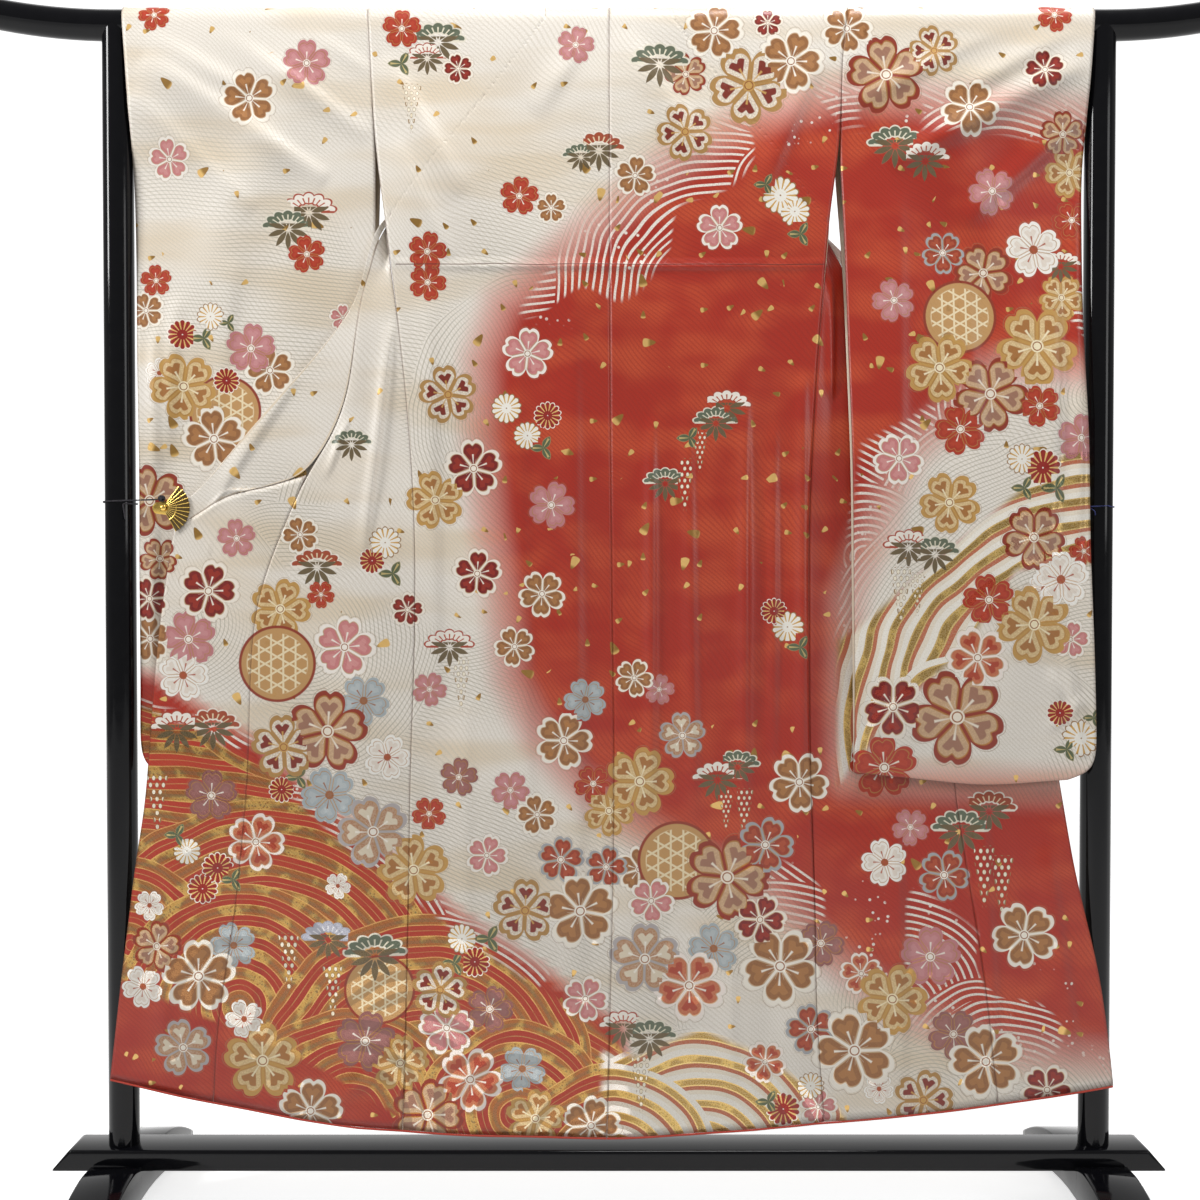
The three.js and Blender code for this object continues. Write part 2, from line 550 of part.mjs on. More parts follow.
// ---- collar ------------------------------------------------------------------------------------------
// At the neck the collar lies over the rail. A row's l edge is sewn to the neck cut and its f
// edge is the folded free one; ls and fs are their distances over the rail from its top.
const COLLAR_LIFT = 2;
const COLLAR_SIDE_GAP = 0.4;
const COLLAR_TOP_GAP = 0.5;
const COLLAR_NECK = [
  { lx: 0, ls: 9.8, fx: 0, fs: 62 }, { lx: 48, ls: 9.8, fx: 40, fs: 63 },
  { lx: 80, ls: 9.8, fx: 55, fs: 66 }, { lx: 87, ls: 20, fx: 60, fs: 74 },
  { lx: 87, ls: 30, fx: 63, fs: 82 }, { lx: 87, ls: 39, fx: 67, fs: 92 },
];
// Below the neck a row is set by the places of its l and f edges.
const LEFT_COLLAR = [
  { lx: -142.3, ly: 21.9, lz: 1593, fx: -104, fy: 21, fz: 1562 },
  { lx: -201.2, ly: 18.9, lz: 1517, fx: -164, fy: 15, fz: 1486 },
  { lx: -261, ly: 9.4, lz: 1445, fx: -240, fy: 2, fz: 1424 },
  { lx: -296.3, ly: -3.2, lz: 1402.6, fx: -297, fy: -15, fz: 1399 },
  { lx: -315.9, ly: -14.6, lz: 1372, fx: -319, fy: -21, fz: 1380 },
  { lx: -326, ly: -21, lz: 1344, fx: -330, fy: -25, fz: 1352 },
  { lx: -332, ly: -24.6, lz: 1316.6, fx: -336.5, fy: -27, fz: 1322 },
];
const LEFT_COLLAR_OUTSIDE = [
  { lz: 1266, fx: -349.5, fz: 1268 }, { lz: 1195, fx: -385, fz: 1222 },
  { lz: 1139, fx: -426, fz: 1175 }, { lz: 1083, fx: -466, fz: 1129 },
  { lz: 1031, fx: -505, fz: 1084 },
];
// Along the okumi's top edge the rows are set by how far across it they stand.
const LEFT_COLLAR_END = [
  { u: 0.2, fx: -528, fz: 1058 }, { u: 0.4, fx: -548, fz: 1035 }, { u: 0.6, fx: -566, fz: 1014 },
  { u: 0.8, fx: -585, fz: 997 }, { u: 1, fx: -601, fz: 984 },
];
const RIGHT_COLLAR = [
  { lx: 142.3, ly: 21.9, lz: 1593, fx: 104, fy: 23, fz: 1562 },
  { lx: 201.2, ly: 23, lz: 1517, fx: 164, fy: 25, fz: 1486 },
  { lx: 255, ly: 26.3, lz: 1449, fx: 232, fy: 32, fz: 1428 },
  { lx: 287.6, ly: 25, lz: 1402.3, fx: 282, fy: 38, fz: 1396 },
  { lx: 306.2, ly: 20.2, lz: 1368.6, fx: 312, fy: 33, fz: 1372 },
  { lx: 327, ly: 14, lz: 1333.6, fx: 340, fy: 22, fz: 1340 },
];
const RIGHT_COLLAR_OUTSIDE = [
  { lz: 1266, fx: 388, fz: 1278 }, { lz: 1195, fx: 428, fz: 1222 }, { lz: 1139, fx: 462, fz: 1172 },
  { lz: 1083, fx: 494, fz: 1124 }, { lz: 1031, fx: 522, fz: 1080 },
];
const RIGHT_COLLAR_END = [
  { u: 0.2, fx: 540, fz: 1055 }, { u: 0.4, fx: 552, fz: 1034 }, { u: 0.6, fx: 562, fz: 1016 },
  { u: 0.8, fx: 572, fz: 999 }, { u: 1, fx: 581, fz: 984 },
];
const COLLAR_ACROSS = 5;

// A point that lies over the rail at a distance from the rail's top.
function overRail(x, distance, radius) {
  const turn = Math.min(distance / radius, Math.PI / 2);
  const drop = Math.max(0, distance - (radius * Math.PI) / 2);
  return new THREE.Vector3(x, radius * Math.sin(turn), RAIL_Z + radius * Math.cos(turn) - drop);
}

function collarRows(sign) {
  const hidden = sign < 0 ? LEFT_COLLAR : RIGHT_COLLAR;
  const outside = sign < 0 ? LEFT_COLLAR_OUTSIDE : RIGHT_COLLAR_OUTSIDE;
  const end = sign < 0 ? LEFT_COLLAR_END : RIGHT_COLLAR_END;
  const ridge = sign < 0 ? LEFT_RIDGE : RIGHT_RIDGE;
  const depth = sign < 0 ? leftFrontDepth : rightFrontDepth;
  const straight = (sewn, free) => Array.from(
    { length: COLLAR_ACROSS + 1 },
    (_, i) => new THREE.Vector3().lerpVectors(sewn, free, i / COLLAR_ACROSS),
  );
  const rows = COLLAR_NECK.map((r) => Array.from({ length: COLLAR_ACROSS + 1 }, (_, i) => {
    const t = i / COLLAR_ACROSS;
    return overRail(sign * lerp(r.lx, r.fx, t), lerp(r.ls, r.fs, t), WRAP + COLLAR_LIFT);
  }));
  for (const r of hidden) {
    rows.push(straight(new THREE.Vector3(r.lx, r.ly, r.lz), new THREE.Vector3(r.fx, r.fy, r.fz)));
  }
  for (const r of outside) {
    const x = read(ridge, 'z', r.lz, 'x') + sign * COLLAR_SIDE_GAP;
    const sewn = new THREE.Vector3(x, depth(x, r.lz), r.lz + JOINT_GAP);
    rows.push(straight(sewn, new THREE.Vector3(r.fx, depth(r.fx, r.fz), r.fz)));
  }
  for (const r of end) {
    const sewn = okumiPoint(sign, r.u, 0);
    sewn.z += COLLAR_TOP_GAP;
    rows.push(straight(sewn, new THREE.Vector3(r.fx, depth(r.fx, r.fz), r.fz)));
  }
  return rows;
}

const wholeCollar = () => [...collarRows(-1).toReversed(), ...collarRows(1).slice(1)];
const collar = () => wall(wholeCollar());

// The over-collar is sewn flat over the collar's middle, on the side away from the rail.
function overCollar() {
  const rows = wholeCollar();
  const middle = collarRows(-1).length - 1;
  const reach = COLLAR_NECK.length + 2;
  return wall(rows, {
    shift: -(CLOTH + LAYER_GAP),
    part: { rows: [middle - reach, middle + reach + 1], columns: [0] },
  });
}

// ---- lining of the fronts where the open gaps under the sleeves show it ------------------------------
const LINING = 1;
const LINING_ROWS = 4;
const LINING_COLUMNS = 6;
function gapLining(sign) {
  const first = BACK_HEIGHTS.length + BODY_TURNS.length;
  return wall(bodyRows(sign), {
    thickness: LINING,
    shift: -(CLOTH + LINING) / 2 - LAYER_GAP,
    part: {
      rows: [first, first + LINING_ROWS],
      columns: sign < 0 ? [0, LINING_COLUMNS] : [-LINING_COLUMNS],
    },
  });
}

// ---- hem lining: the red lining rolled out below the hem -------------------------------------------
const HEM_THICKNESS = 2;
const HEM_COLUMNS = 24;
function hemLining(sign) {
  const edge = (sign < 0 ? LEFT_OKUMI_EDGE : RIGHT_OKUMI_EDGE).at(-1).x;
  const side = sign < 0 ? LEFT_SIDE : RIGHT_SIDE;
  const seamX = read(side, 'z', HEM_REFERENCE, 'x');
  const depth = sign < 0 ? leftFrontDepth : rightFrontDepth;
  const start = read(CENTRE_BACK, 'z', HEM_REFERENCE, 'x') + sign * SEAM_GAP / 2;
  const rows = Array.from({ length: HEM_COLUMNS + 1 }, (_, i) => {
    const x = lerp(start, edge, i / HEM_COLUMNS);
    const inBack = sign * (seamX - x) > 0;
    const y = inBack ? -WRAP + backDrape(x, HEM_REFERENCE) : depth(x, HEM_REFERENCE);
    const top = atHem(x, HEM_REFERENCE) - 0.5;
    return [new THREE.Vector3(x, y, top), new THREE.Vector3(x, y, top - HEM_ROLL)];
  });
  return wall(rows, { thickness: HEM_THICKNESS });
}

// ---- the fan clip and its cord ------------------------------------------------------------------------
const FAN = {
  x: -617, z: 986, y: -28.2, inner: 7.7, middle: 20, outer: 37, from: -61, to: 53, ribs: 11,
  plate: 1, pleat: 1.4,
};
function fanPlate() {
  const steps = FAN.ribs * 2;
  const rows = [FAN.inner, FAN.middle, FAN.outer].map((radius) => (
    Array.from({ length: steps + 1 }, (_, i) => {
      const angle = THREE.MathUtils.degToRad(lerp(FAN.from, FAN.to, i / steps));
      const [dx, dz] = onCircle(angle, radius);
      const pleat = (i % 2) * FAN.pleat * (radius / FAN.outer);
      return new THREE.Vector3(FAN.x + dx, FAN.y - FAN.plate / 2 - pleat, FAN.z + dz);
    })
  ));
  return wall(rows, { thickness: FAN.plate });
}

// The hub's profile, as radius and distance from the fan.
const HUB = [[0, -2.6], [5.2, -2.2], [7.1, -0.8], [7.3, 0.6], [7.3, 1.9], [0, 1.9]];
function fanHub() {
  const hub = new THREE.LatheGeometry(HUB.map(([r, y]) => new THREE.Vector2(r, y)), 18);
  hub.translate(FAN.x, FAN.y, FAN.z);
  return hub;
}

// The rear jaw is a plate behind the cloth, rounded at both ends.
const JAW = { rootRadius: 8, tipRadius: 12, tip: 22, thickness: 1.6, y: -24.3 };
function clipJaw() {
  const { rootRadius, tipRadius, tip } = JAW;
  const shape = new THREE.Shape();
  shape.moveTo(-rootRadius, -rootRadius);
  shape.lineTo(tip, -tipRadius);
  shape.absarc(tip, 0, tipRadius, -Math.PI / 2, Math.PI / 2, false);
  shape.lineTo(-rootRadius, rootRadius);
  shape.absarc(-rootRadius, 0, rootRadius, Math.PI / 2, (3 * Math.PI) / 2, false);
  const jaw = new THREE.ExtrudeGeometry(shape, {
    depth: JAW.thickness, bevelEnabled: false, curveSegments: 8,
  });
  jaw.rotateX(Math.PI / 2);
  jaw.translate(FAN.x, JAW.y, FAN.z);
  return jaw;
}

// A round cord through points, with a section of eight sides.
const CORD_SIDES = 8;
function cord(points, radius) {
  const route = new THREE.CatmullRomCurve3(points, false, 'centripetal');
  const steps = Math.min(60, Math.round(route.getLength() / (5.2 * radius)));
  const frames = route.computeFrenetFrames(steps, false);
  return tube(Array.from({ length: steps + 1 }, (_, j) => {
    const centre = route.getPointAt(j / steps);
    return roundSection(radius, CORD_SIDES).map(([a, b]) => (
      centre.clone().addScaledVector(frames.normals[j], a).addScaledVector(frames.binormals[j], b)
    ));
  }));
}

// One turn of cord round a post, from a held end to a loose tail, dropping as it goes.
const TURN_POINTS = 12;
const TURN_STEP = 29;
const CORD_CLEARANCE = 0.6;
function turnRoundPost({ postX, start, from, direction, radius, drop, z, tail }) {
  const reach = POST_RADIUS + CORD_CLEARANCE + radius;
  const turns = Array.from({ length: TURN_POINTS }, (_, i) => {
    const angle = THREE.MathUtils.degToRad(from + direction * i * TURN_STEP);
    const [dx, dy] = onCircle(angle, reach);
    return new THREE.Vector3(postX + dx, dy, z - drop * (i / TURN_POINTS));
  });
  const places = [start, ...tail].map((place) => new THREE.Vector3(...place));
  return cord([places[0], ...turns, ...places.slice(1)], radius);
}

// The knot that ties the cord to the fan's hub.
const KNOT = { x: -618.5, y: -30.6, z: 998.9, radius: 5, width: 1.05, depth: 0.7, height: 0.95 };
function knot() {
  const ball = new THREE.SphereGeometry(KNOT.radius, 12, 8);
  ball.scale(KNOT.width, KNOT.depth, KNOT.height);
  ball.translate(KNOT.x, KNOT.y, KNOT.z);
  return ball;
}

const leftCord = () => turnRoundPost({
  postX: -POST_X, radius: 1.1, z: 996, drop: 4, from: -98, direction: -1,
  start: [-624.2, -30.6, 997.5],
  tail: [[-674.6, -22.4, 990.6], [-672.5, -25, 982], [-671, -25, 971]],
});
const rightCord = () => turnRoundPost({
  postX: POST_X, radius: 0.8, z: 989, drop: 3.4, from: -93, direction: 1,
  start: [598.3, -15.5, 984],
  tail: [[672.5, -20.8, 984], [674.5, -23, 981], [675, -23.2, 976]],
});

// A plain sprung clip whose two legs hold the end of the right collar.
const CLIP = {
  from: 572, bight: 592, to: 597, front: -19, back: -12, legGap: 2.2, bottom: 970, height: 15,
};
function rightClip() {
  const { from, bight, to, front, back, legGap } = CLIP;
  const middle = (front + back) / 2;
  const outline = [[from, front], [to, front], [to, back], [from, back],
    [from, middle + legGap / 2], [bight, middle + legGap / 2],
    [bight, middle - legGap / 2], [from, middle - legGap / 2]];
  const shape = new THREE.Shape(outline.map(([x, y]) => new THREE.Vector2(x, y)));
  const clip = new THREE.ExtrudeGeometry(shape, { depth: CLIP.height, bevelEnabled: false });
  clip.translate(0, 0, CLIP.bottom);
  return clip;
}

// ---- assembly ---------------------------------------------------------------------------------------
const lacquer = new THREE.MeshStandardMaterial({ color: 0x08080a, roughness: 0.12, metalness: 0 });
const silk = new THREE.MeshStandardMaterial({ color: 0xe9dfcf, roughness: 0.45, metalness: 0 });
const redSilk = new THREE.MeshStandardMaterial({ color: 0xb8361f, roughness: 0.45, metalness: 0 });
const paleLining = new THREE.MeshStandardMaterial({ color: 0xd9cbb8, roughness: 0.6, metalness: 0 });
const gilt = new THREE.MeshStandardMaterial({ color: 0xb89a3c, roughness: 0.25, metalness: 1 });
const blackCord = new THREE.MeshStandardMaterial({ color: 0x0c0b0d, roughness: 0.8, metalness: 0 });
const blueCord = new THREE.MeshStandardMaterial({ color: 0x1b2340, roughness: 0.8, metalness: 0 });

const group = new THREE.Group();
function add(name, geometry, material) {
  const mesh = new THREE.Mesh(geometry, material);
  mesh.name = name;
  group.add(mesh);
}

add('rail', rail(), lacquer);
add('left_post', post(-POST_X), lacquer);
add('right_post', post(POST_X), lacquer);
add('base_beam', baseBeam(), lacquer);
add('left_foot', foot(-POST_X), lacquer);
add('right_foot', foot(POST_X), lacquer);
add('left_body', wall(bodyRows(-1)), silk);
add('right_body', wall(bodyRows(1)), redSilk);
add('left_okumi', okumi(-1), silk);
add('right_okumi', okumi(1), redSilk);
add('left_sleeve', sleeve('left'), silk);
add('right_sleeve', sleeve('right'), redSilk);
add('collar', collar(), silk);
add('over_collar', overCollar(), silk);
add('left_lining', gapLining(-1), paleLining);
add('right_lining', gapLining(1), paleLining);
add('left_hem_lining', hemLining(-1), redSilk);
add('right_hem_lining', hemLining(1), redSilk);
add('fan_clip', fanPlate(), gilt);
add('clip_hub', fanHub(), gilt);
add('clip_jaw', clipJaw(), gilt);
add('left_knot', knot(), blackCord);
add('left_cord', leftCord(), blackCord);
add('right_clip', rightClip(), gilt);
add('right_cord', rightCord(), blueCord);

export default group;
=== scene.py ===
import math

import bmesh
import bpy
import numpy as np
from mathutils import Matrix, Vector
from mathutils.kdtree import KDTree


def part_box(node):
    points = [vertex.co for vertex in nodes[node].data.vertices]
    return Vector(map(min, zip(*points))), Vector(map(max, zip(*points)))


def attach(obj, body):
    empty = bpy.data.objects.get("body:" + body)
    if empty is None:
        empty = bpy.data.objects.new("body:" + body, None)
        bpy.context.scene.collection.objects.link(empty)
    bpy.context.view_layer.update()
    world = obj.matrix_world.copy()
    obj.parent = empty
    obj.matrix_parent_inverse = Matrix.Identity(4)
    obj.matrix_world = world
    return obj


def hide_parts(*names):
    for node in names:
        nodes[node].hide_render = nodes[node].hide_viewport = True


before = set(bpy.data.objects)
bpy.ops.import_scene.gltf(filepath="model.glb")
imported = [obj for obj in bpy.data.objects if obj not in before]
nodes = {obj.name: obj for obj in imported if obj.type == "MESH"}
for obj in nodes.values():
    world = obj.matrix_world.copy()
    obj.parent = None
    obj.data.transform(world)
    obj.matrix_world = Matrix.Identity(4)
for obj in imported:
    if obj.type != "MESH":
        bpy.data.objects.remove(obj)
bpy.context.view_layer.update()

scene = bpy.context.scene
scene.view_settings.view_transform = "Standard"


def linked(name, data):
    made = bpy.data.objects.new(name, data)
    scene.collection.objects.link(made)
    return made


# ---- the camera ----
# It stands level with the middle of the kimono's back, about two metres off.
eye = Vector((-0.0125, -1.922, 0.893))
aim = Vector((-0.0125, 0.0, 0.858))
camera_data = bpy.data.cameras.new("camera")
camera_data.sensor_width = 36
camera_data.lens = 41
camera = linked("camera", camera_data)
camera.location = eye
camera.rotation_euler = (aim - eye).to_track_quat("-Z", "Y").to_euler()
scene.camera = camera

# ---- the room ----
# White paper underfoot and behind, a white surround, and three soft lights. The strongest
# stands well to the left, so that its light grazes the satin and shows the folds.
PAPER_GLOW = 0.72
SURROUND_STRENGTH = 0.34


def adds(operation):
    """An operator of Shade that adds one Math node."""
    return lambda self, other: self.math(operation, other)


class Shade:
    """One socket of a material. Arithmetic on it adds Math nodes."""

    def __init__(self, tree, socket):
        self.tree = tree
        self.socket = socket

    def node(self, kind, settings, sockets, out=0):
        """Adds a node, with its settings made first, and gives one of its outputs."""
        made = self.tree.nodes.new(kind)
        for name, value in settings.items():
            if name == "stops":
                ramp = made.color_ramp
                ramp.interpolation = "CONSTANT"
                while len(ramp.elements) < len(value):
                    ramp.elements.new(0.5)
                for element, (place, colour) in zip(ramp.elements, value):
                    element.position = place
                    element.color = (*colour, 1)
            else:
                setattr(made, name, value)
        for name, value in sockets.items():
            if isinstance(value, Shade):
                self.tree.links.new(value.socket, made.inputs[name])
            else:
                made.inputs[name].default_value = value
        return Shade(self.tree, made.outputs[out])

    def math(self, operation, *others):
        values = dict(enumerate((self, *others)))
        return self.node("ShaderNodeMath", {"operation": operation}, values)

    __add__ = __radd__ = adds("ADD")
    __mul__ = __rmul__ = adds("MULTIPLY")
    __sub__ = adds("SUBTRACT")
    __truediv__ = adds("DIVIDE")
    __gt__ = adds("GREATER_THAN")
    __lt__ = adds("LESS_THAN")

    def __rsub__(self, other):
        return self.math("MULTIPLY_ADD", -1.0, other)

    def __abs__(self):
        return self.math("ABSOLUTE")

    def swing(self):
        """Goes from a half down to nothing and back up in each whole step of the value."""
        return abs(self.math("FRACT") - 0.5)

    def ease(self, low, high, to_low=0.0, to_high=1.0):
        """Goes smoothly from to_low to to_high as the value goes from low to high."""
        return self.node(
            "ShaderNodeMapRange",
            {"interpolation_type": "SMOOTHSTEP"},
            {0: self, 1: low, 2: high, 3: to_low, 4: to_high},
        )

    def blend(self, without, with_it):
        """Mixes two colours by this amount."""
        without, with_it = ((*c, 1) if isinstance(c, tuple) else c for c in (without, with_it))
        kind = {"data_type": "RGBA"}
        return self.node("ShaderNodeMix", kind, {0: self, 6: without, 7: with_it}, 2)

    def ramp(self, stops):
        """The colour of the last stop that the value has passed."""
        return self.node("ShaderNodeValToRGB", {"stops": stops}, {0: self})

    def noise(self, scale, detail=2.0):
        return self.node("ShaderNodeTexNoise", {}, {0: self, "Scale": scale, "Detail": detail})

    def cells(self, scale, out=0, loose=1.0):
        """Scattered cells: how far from the middle of one, its chance values or its middle."""
        settings = {0: self, "Scale": scale, "Randomness": loose}
        return self.node("ShaderNodeTexVoronoi", {}, settings, out)

    def apart(self, other, operation="DISTANCE", out=1):
        """How far a place lies from another, or the step between them."""
        return self.node("ShaderNodeVectorMath", {"operation": operation}, {0: self, 1: other}, out)

    def split(self):
        return [self.node("ShaderNodeSeparateXYZ", {}, {0: self}, i) for i in range(3)]


def new_finish(name, **fixed):
    """A material, its shader node and a Shade on its Object coordinates."""
    material = bpy.data.materials.new(name)
    material.use_nodes = True
    shader = material.node_tree.nodes["Principled BSDF"]
    for socket, value in fixed.items():
        shader.inputs[socket.replace("_", " ")].default_value = value
    places = material.node_tree.nodes.new("ShaderNodeTexCoord")
    return material, shader, Shade(material.node_tree, places.outputs["Object"])


def feed(shader, socket, shade):
    shade.tree.links.new(shade.socket, shader.inputs[socket])


def mottled(name, scale, one, other, rough=None, detail=2.0, **fixed):
    """A finish whose colour wanders between two, and its roughness where rough says how."""
    finish, shader, place = new_finish(name, **fixed)
    tint = place.noise(scale, detail)
    feed(shader, "Base Color", tint.blend(one, other))
    if rough:
        feed(shader, "Roughness", tint.ease(*rough))
    return finish


def as_object(name, bm, *materials):
    """Makes an object of a bmesh, smooth shaded, at the origin."""
    mesh = bpy.data.meshes.new(name)
    bm.to_mesh(mesh)
    bm.free()
    for material in materials:
        mesh.materials.append(material)
    mesh.shade_smooth()
    return linked(name, mesh)


paper = mottled(
    "white_paper", 3.0, (0.86, 0.86, 0.86), (0.88, 0.88, 0.88),
    Roughness=0.9, Emission_Color=(1, 1, 1, 1), Emission_Strength=PAPER_GLOW,
)


def paper_sheet(name, half, place):
    """A square sheet of the white paper."""
    bm = bmesh.new()
    bmesh.ops.create_grid(bm, x_segments=2, y_segments=2, size=half, matrix=place)
    return as_object(name, bm, paper)


floor = paper_sheet("floor", 6, Matrix.Translation((0, 0, -0.001)))
upright = Matrix.Rotation(math.radians(90), 4, "X")
backdrop = paper_sheet("backdrop", 5, Matrix.Translation((0, 3.2, 4.9)) @ upright)
floor.visible_diffuse = backdrop.visible_diffuse = False

world = bpy.data.worlds.new("surround")
world.use_nodes = True
world.node_tree.nodes["Background"].inputs["Color"].default_value = (1, 1, 1, 1)
world.node_tree.nodes["Background"].inputs["Strength"].default_value = SURROUND_STRENGTH
scene.world = world


def softbox(name, place, towards, size, power):
    data = bpy.data.lights.new(name, "AREA")
    data.shape = "RECTANGLE"
    data.size, data.size_y = size
    data.energy = power
    light = linked(name, data)
    light.location = place
    turn = Vector(towards) - Vector(place)
    light.rotation_euler = turn.to_track_quat("-Z", "Y").to_euler()


softbox("left_softbox", (-2.4, -1.0, 2.2), (0.1, 0, 0.95), (0.45, 1.0), 46)
softbox("right_softbox", (2.6, -1.9, 1.7), (0, 0, 0.9), (0.8, 1.4), 16)
softbox("top_softbox", (0.4, -0.6, 3.0), (0, -0.1, 0.9), (1.4, 0.3), 34)

# ---- the stand ----
# A kimono stand of turned and planed wood in polished black lacquer: a round rail with
# upturned ends, two round posts, a beam across two arched feet.
RAIL_HEIGHT, RAIL_RADIUS, RAIL_HALF = 1.660, 0.021, 0.950
RAIL_STRAIGHT, RAIL_RISE, RAIL_CUT = 0.690, 0.040, 0.02
POST_RADIUS, POST_CUT, POST_PLAY = 0.021, 0.003, 0.0004
BEAM_TOP, BEAM_MIDDLE, BEAM_SLANT = 0.090, 0.075, 0.026
FOOT_SHOULDER, FOOT_TIP, FOOT_ARCH, FOOT_PAD = 0.072, 0.022, 0.022, 0.062
FOOT_LEVEL, FOOT_CUT, FOOT_MIDDLE = 0.064, 0.0146, 0.036
SLOT, SLOT_DEPTH, SLOT_WALL = 0.0303, 0.0303, 0.0004
ROUND_SIDES = 48
lacquer = mottled(
    "black_lacquer", 60.0, (0.002, 0.002, 0.003), (0.004, 0.004, 0.005),
    rough=(0.3, 0.8, 0.07, 0.13), detail=4.0, Specular_IOR_Level=0.2,
)


def cut_across(bm, axis, places):
    """Cuts a solid through at places along an axis, so that it can be bent there."""
    for place in places:
        at = Vector((0, 0, 0))
        at[axis] = place
        normal = Vector((0, 0, 0))
        normal[axis] = 1
        everything = [*bm.verts, *bm.edges, *bm.faces]
        bmesh.ops.bisect_plane(bm, geom=everything, plane_co=at, plane_no=normal)


def eased(bm, width, segments=3, sharp=40):
    """Rounds the sharp edges of a solid."""
    bmesh.ops.bevel(
        bm,
        geom=[e for e in bm.edges if e.calc_face_angle(0) > math.radians(sharp)],
        offset=width, segments=segments, profile=0.5, affect="EDGES", material=-1,
    )


def fit(made, node):
    """Puts a piece in the place of the CAD node that it stands for, if there is one."""
    if node:
        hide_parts(node)
    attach(made, "root")


def wooden(name, bm, node):
    made = as_object(name, bm, lacquer)
    made.data.set_sharp_from_angle(angle=math.radians(50))
    fit(made, node)


def rod(radius, length, place):
    bm = bmesh.new()
    bmesh.ops.create_cone(
        bm, cap_ends=True, segments=ROUND_SIDES, radius1=radius, radius2=radius,
        depth=length, matrix=place,
    )
    return bm


def block(low, high):
    """A box between two corners."""
    bm = bmesh.new()
    bmesh.ops.create_cube(bm, size=1, matrix=Matrix.Translation((low + high) / 2))
    centred = Matrix.Translation(-(low + high) / 2)
    bmesh.ops.scale(bm, vec=high - low, space=centred, verts=bm.verts)
    return bm


bm = rod(RAIL_RADIUS, 2 * RAIL_HALF, Matrix.Rotation(math.radians(90), 4, "Y"))
eased(bm, 0.005)
curved = [RAIL_STRAIGHT + i * RAIL_CUT for i in range(13)]
cut_across(bm, 0, [-x for x in curved] + curved)
for v in bm.verts:
    past = max(0, abs(v.co.x) - RAIL_STRAIGHT) / (RAIL_HALF - RAIL_STRAIGHT)
    v.co.z += RAIL_HEIGHT + RAIL_RISE * past ** 2
wooden("rail_round", bm, "rail")

for side in ("left", "right"):
    low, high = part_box(f"{side}_post")
    middle = (low + high) / 2
    bm = rod(POST_RADIUS, high.z - low.z, Matrix.Translation(middle))
    cut_across(bm, 1, [i * POST_CUT for i in range(-6, 7)])
    for v in bm.verts:
        if v.co.z > middle.z:
            half_chord = math.sqrt(max(0, (RAIL_RADIUS + POST_PLAY) ** 2 - v.co.y ** 2))
            v.co.z = RAIL_HEIGHT - half_chord
    wooden(f"{side}_post_round", bm, f"{side}_post")

bm = block(*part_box("base_beam"))
for v in bm.verts:
    if v.co.z > BEAM_MIDDLE:
        v.co.x -= math.copysign(BEAM_SLANT, v.co.x)
eased(bm, 0.004)
wooden("base_beam_eased", bm, "base_beam")

for side in ("left", "right"):
    low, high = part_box(f"{side}_foot")
    half = high.y
    bm = block(low, high)
    stations = [SLOT, SLOT + SLOT_WALL, *(FOOT_LEVEL + i * FOOT_CUT for i in range(10))]
    cut_across(bm, 1, [-y for y in stations] + [0] + stations)
    for v in bm.verts:
        out = abs(v.co.y)
        if v.co.z > FOOT_MIDDLE:
            past = min(1, max(0, out - FOOT_LEVEL) / (half - FOOT_LEVEL))
            v.co.z = FOOT_SHOULDER - (FOOT_SHOULDER - FOOT_TIP) * past ** 1.7
            if out < SLOT + SLOT_WALL / 2:
                v.co.z = BEAM_TOP - SLOT_DEPTH
        elif out < half - FOOT_PAD:
            v.co.z = FOOT_ARCH * math.sin((1 - out / (half - FOOT_PAD)) * math.pi / 2)
    eased(bm, 0.003, 2)
    wooden(f"{side}_foot_eased", bm, f"{side}_foot")

# ---- the silk ----
# Each body length runs from the back hem over the rail to the front hem. The fronts are drawn
# through the gaps under the sleeves and spread beside the back, painted side towards the eye.
RAIL_WRAP = 0.0219
SILK_THICKNESS = 0.0009
SILK_LEVELS, LINING_LEVELS = 3, 2
SEAM_CLOSING = 0.00022
WELD = 1e-6
CREASE = math.radians(70)


def outer_side(node, farther):
    """The outer one of the two faces of a CAD wall, as squares. farther tells how far out
    a point lies."""
    bm = bmesh.new()
    bm.from_mesh(nodes[node].data)
    bmesh.ops.remove_doubles(bm, verts=bm.verts, dist=WELD)
    bm.normal_update()
    sides = []
    left = set(bm.faces)
    while left:
        side = [left.pop()]
        for face in side:
            for edge in face.edges:
                for other in edge.link_faces:
                    if other in left and face.normal.angle(other.normal) < CREASE:
                        left.discard(other)
                        side.append(other)
        sides.append(side)
    sides.sort(key=lambda side: sum(face.calc_area() for face in side))
    outer = set(max(sides[-2:], key=lambda side: max(farther(v.co) for f in side for v in f.verts)))
    bmesh.ops.delete(bm, geom=[f for f in bm.faces if f not in outer], context="FACES")
    bmesh.ops.join_triangles(
        bm, faces=bm.faces, angle_face_threshold=math.pi, angle_shape_threshold=math.pi
    )
    for v in [v for v in bm.verts if v.is_boundary]:
        inward = sum((f.calc_center_median() - v.co for f in v.link_faces), Vector())
        v.co -= Vector((inward.x, 0, inward.z)).normalized() * SEAM_CLOSING
    return bm


def worked_out(made):
    """An object's mesh after its modifiers, or a curve's after its bevel."""
    graph = bpy.context.evaluated_depsgraph_get()
    return bpy.data.meshes.new_from_object(made.evaluated_get(graph))


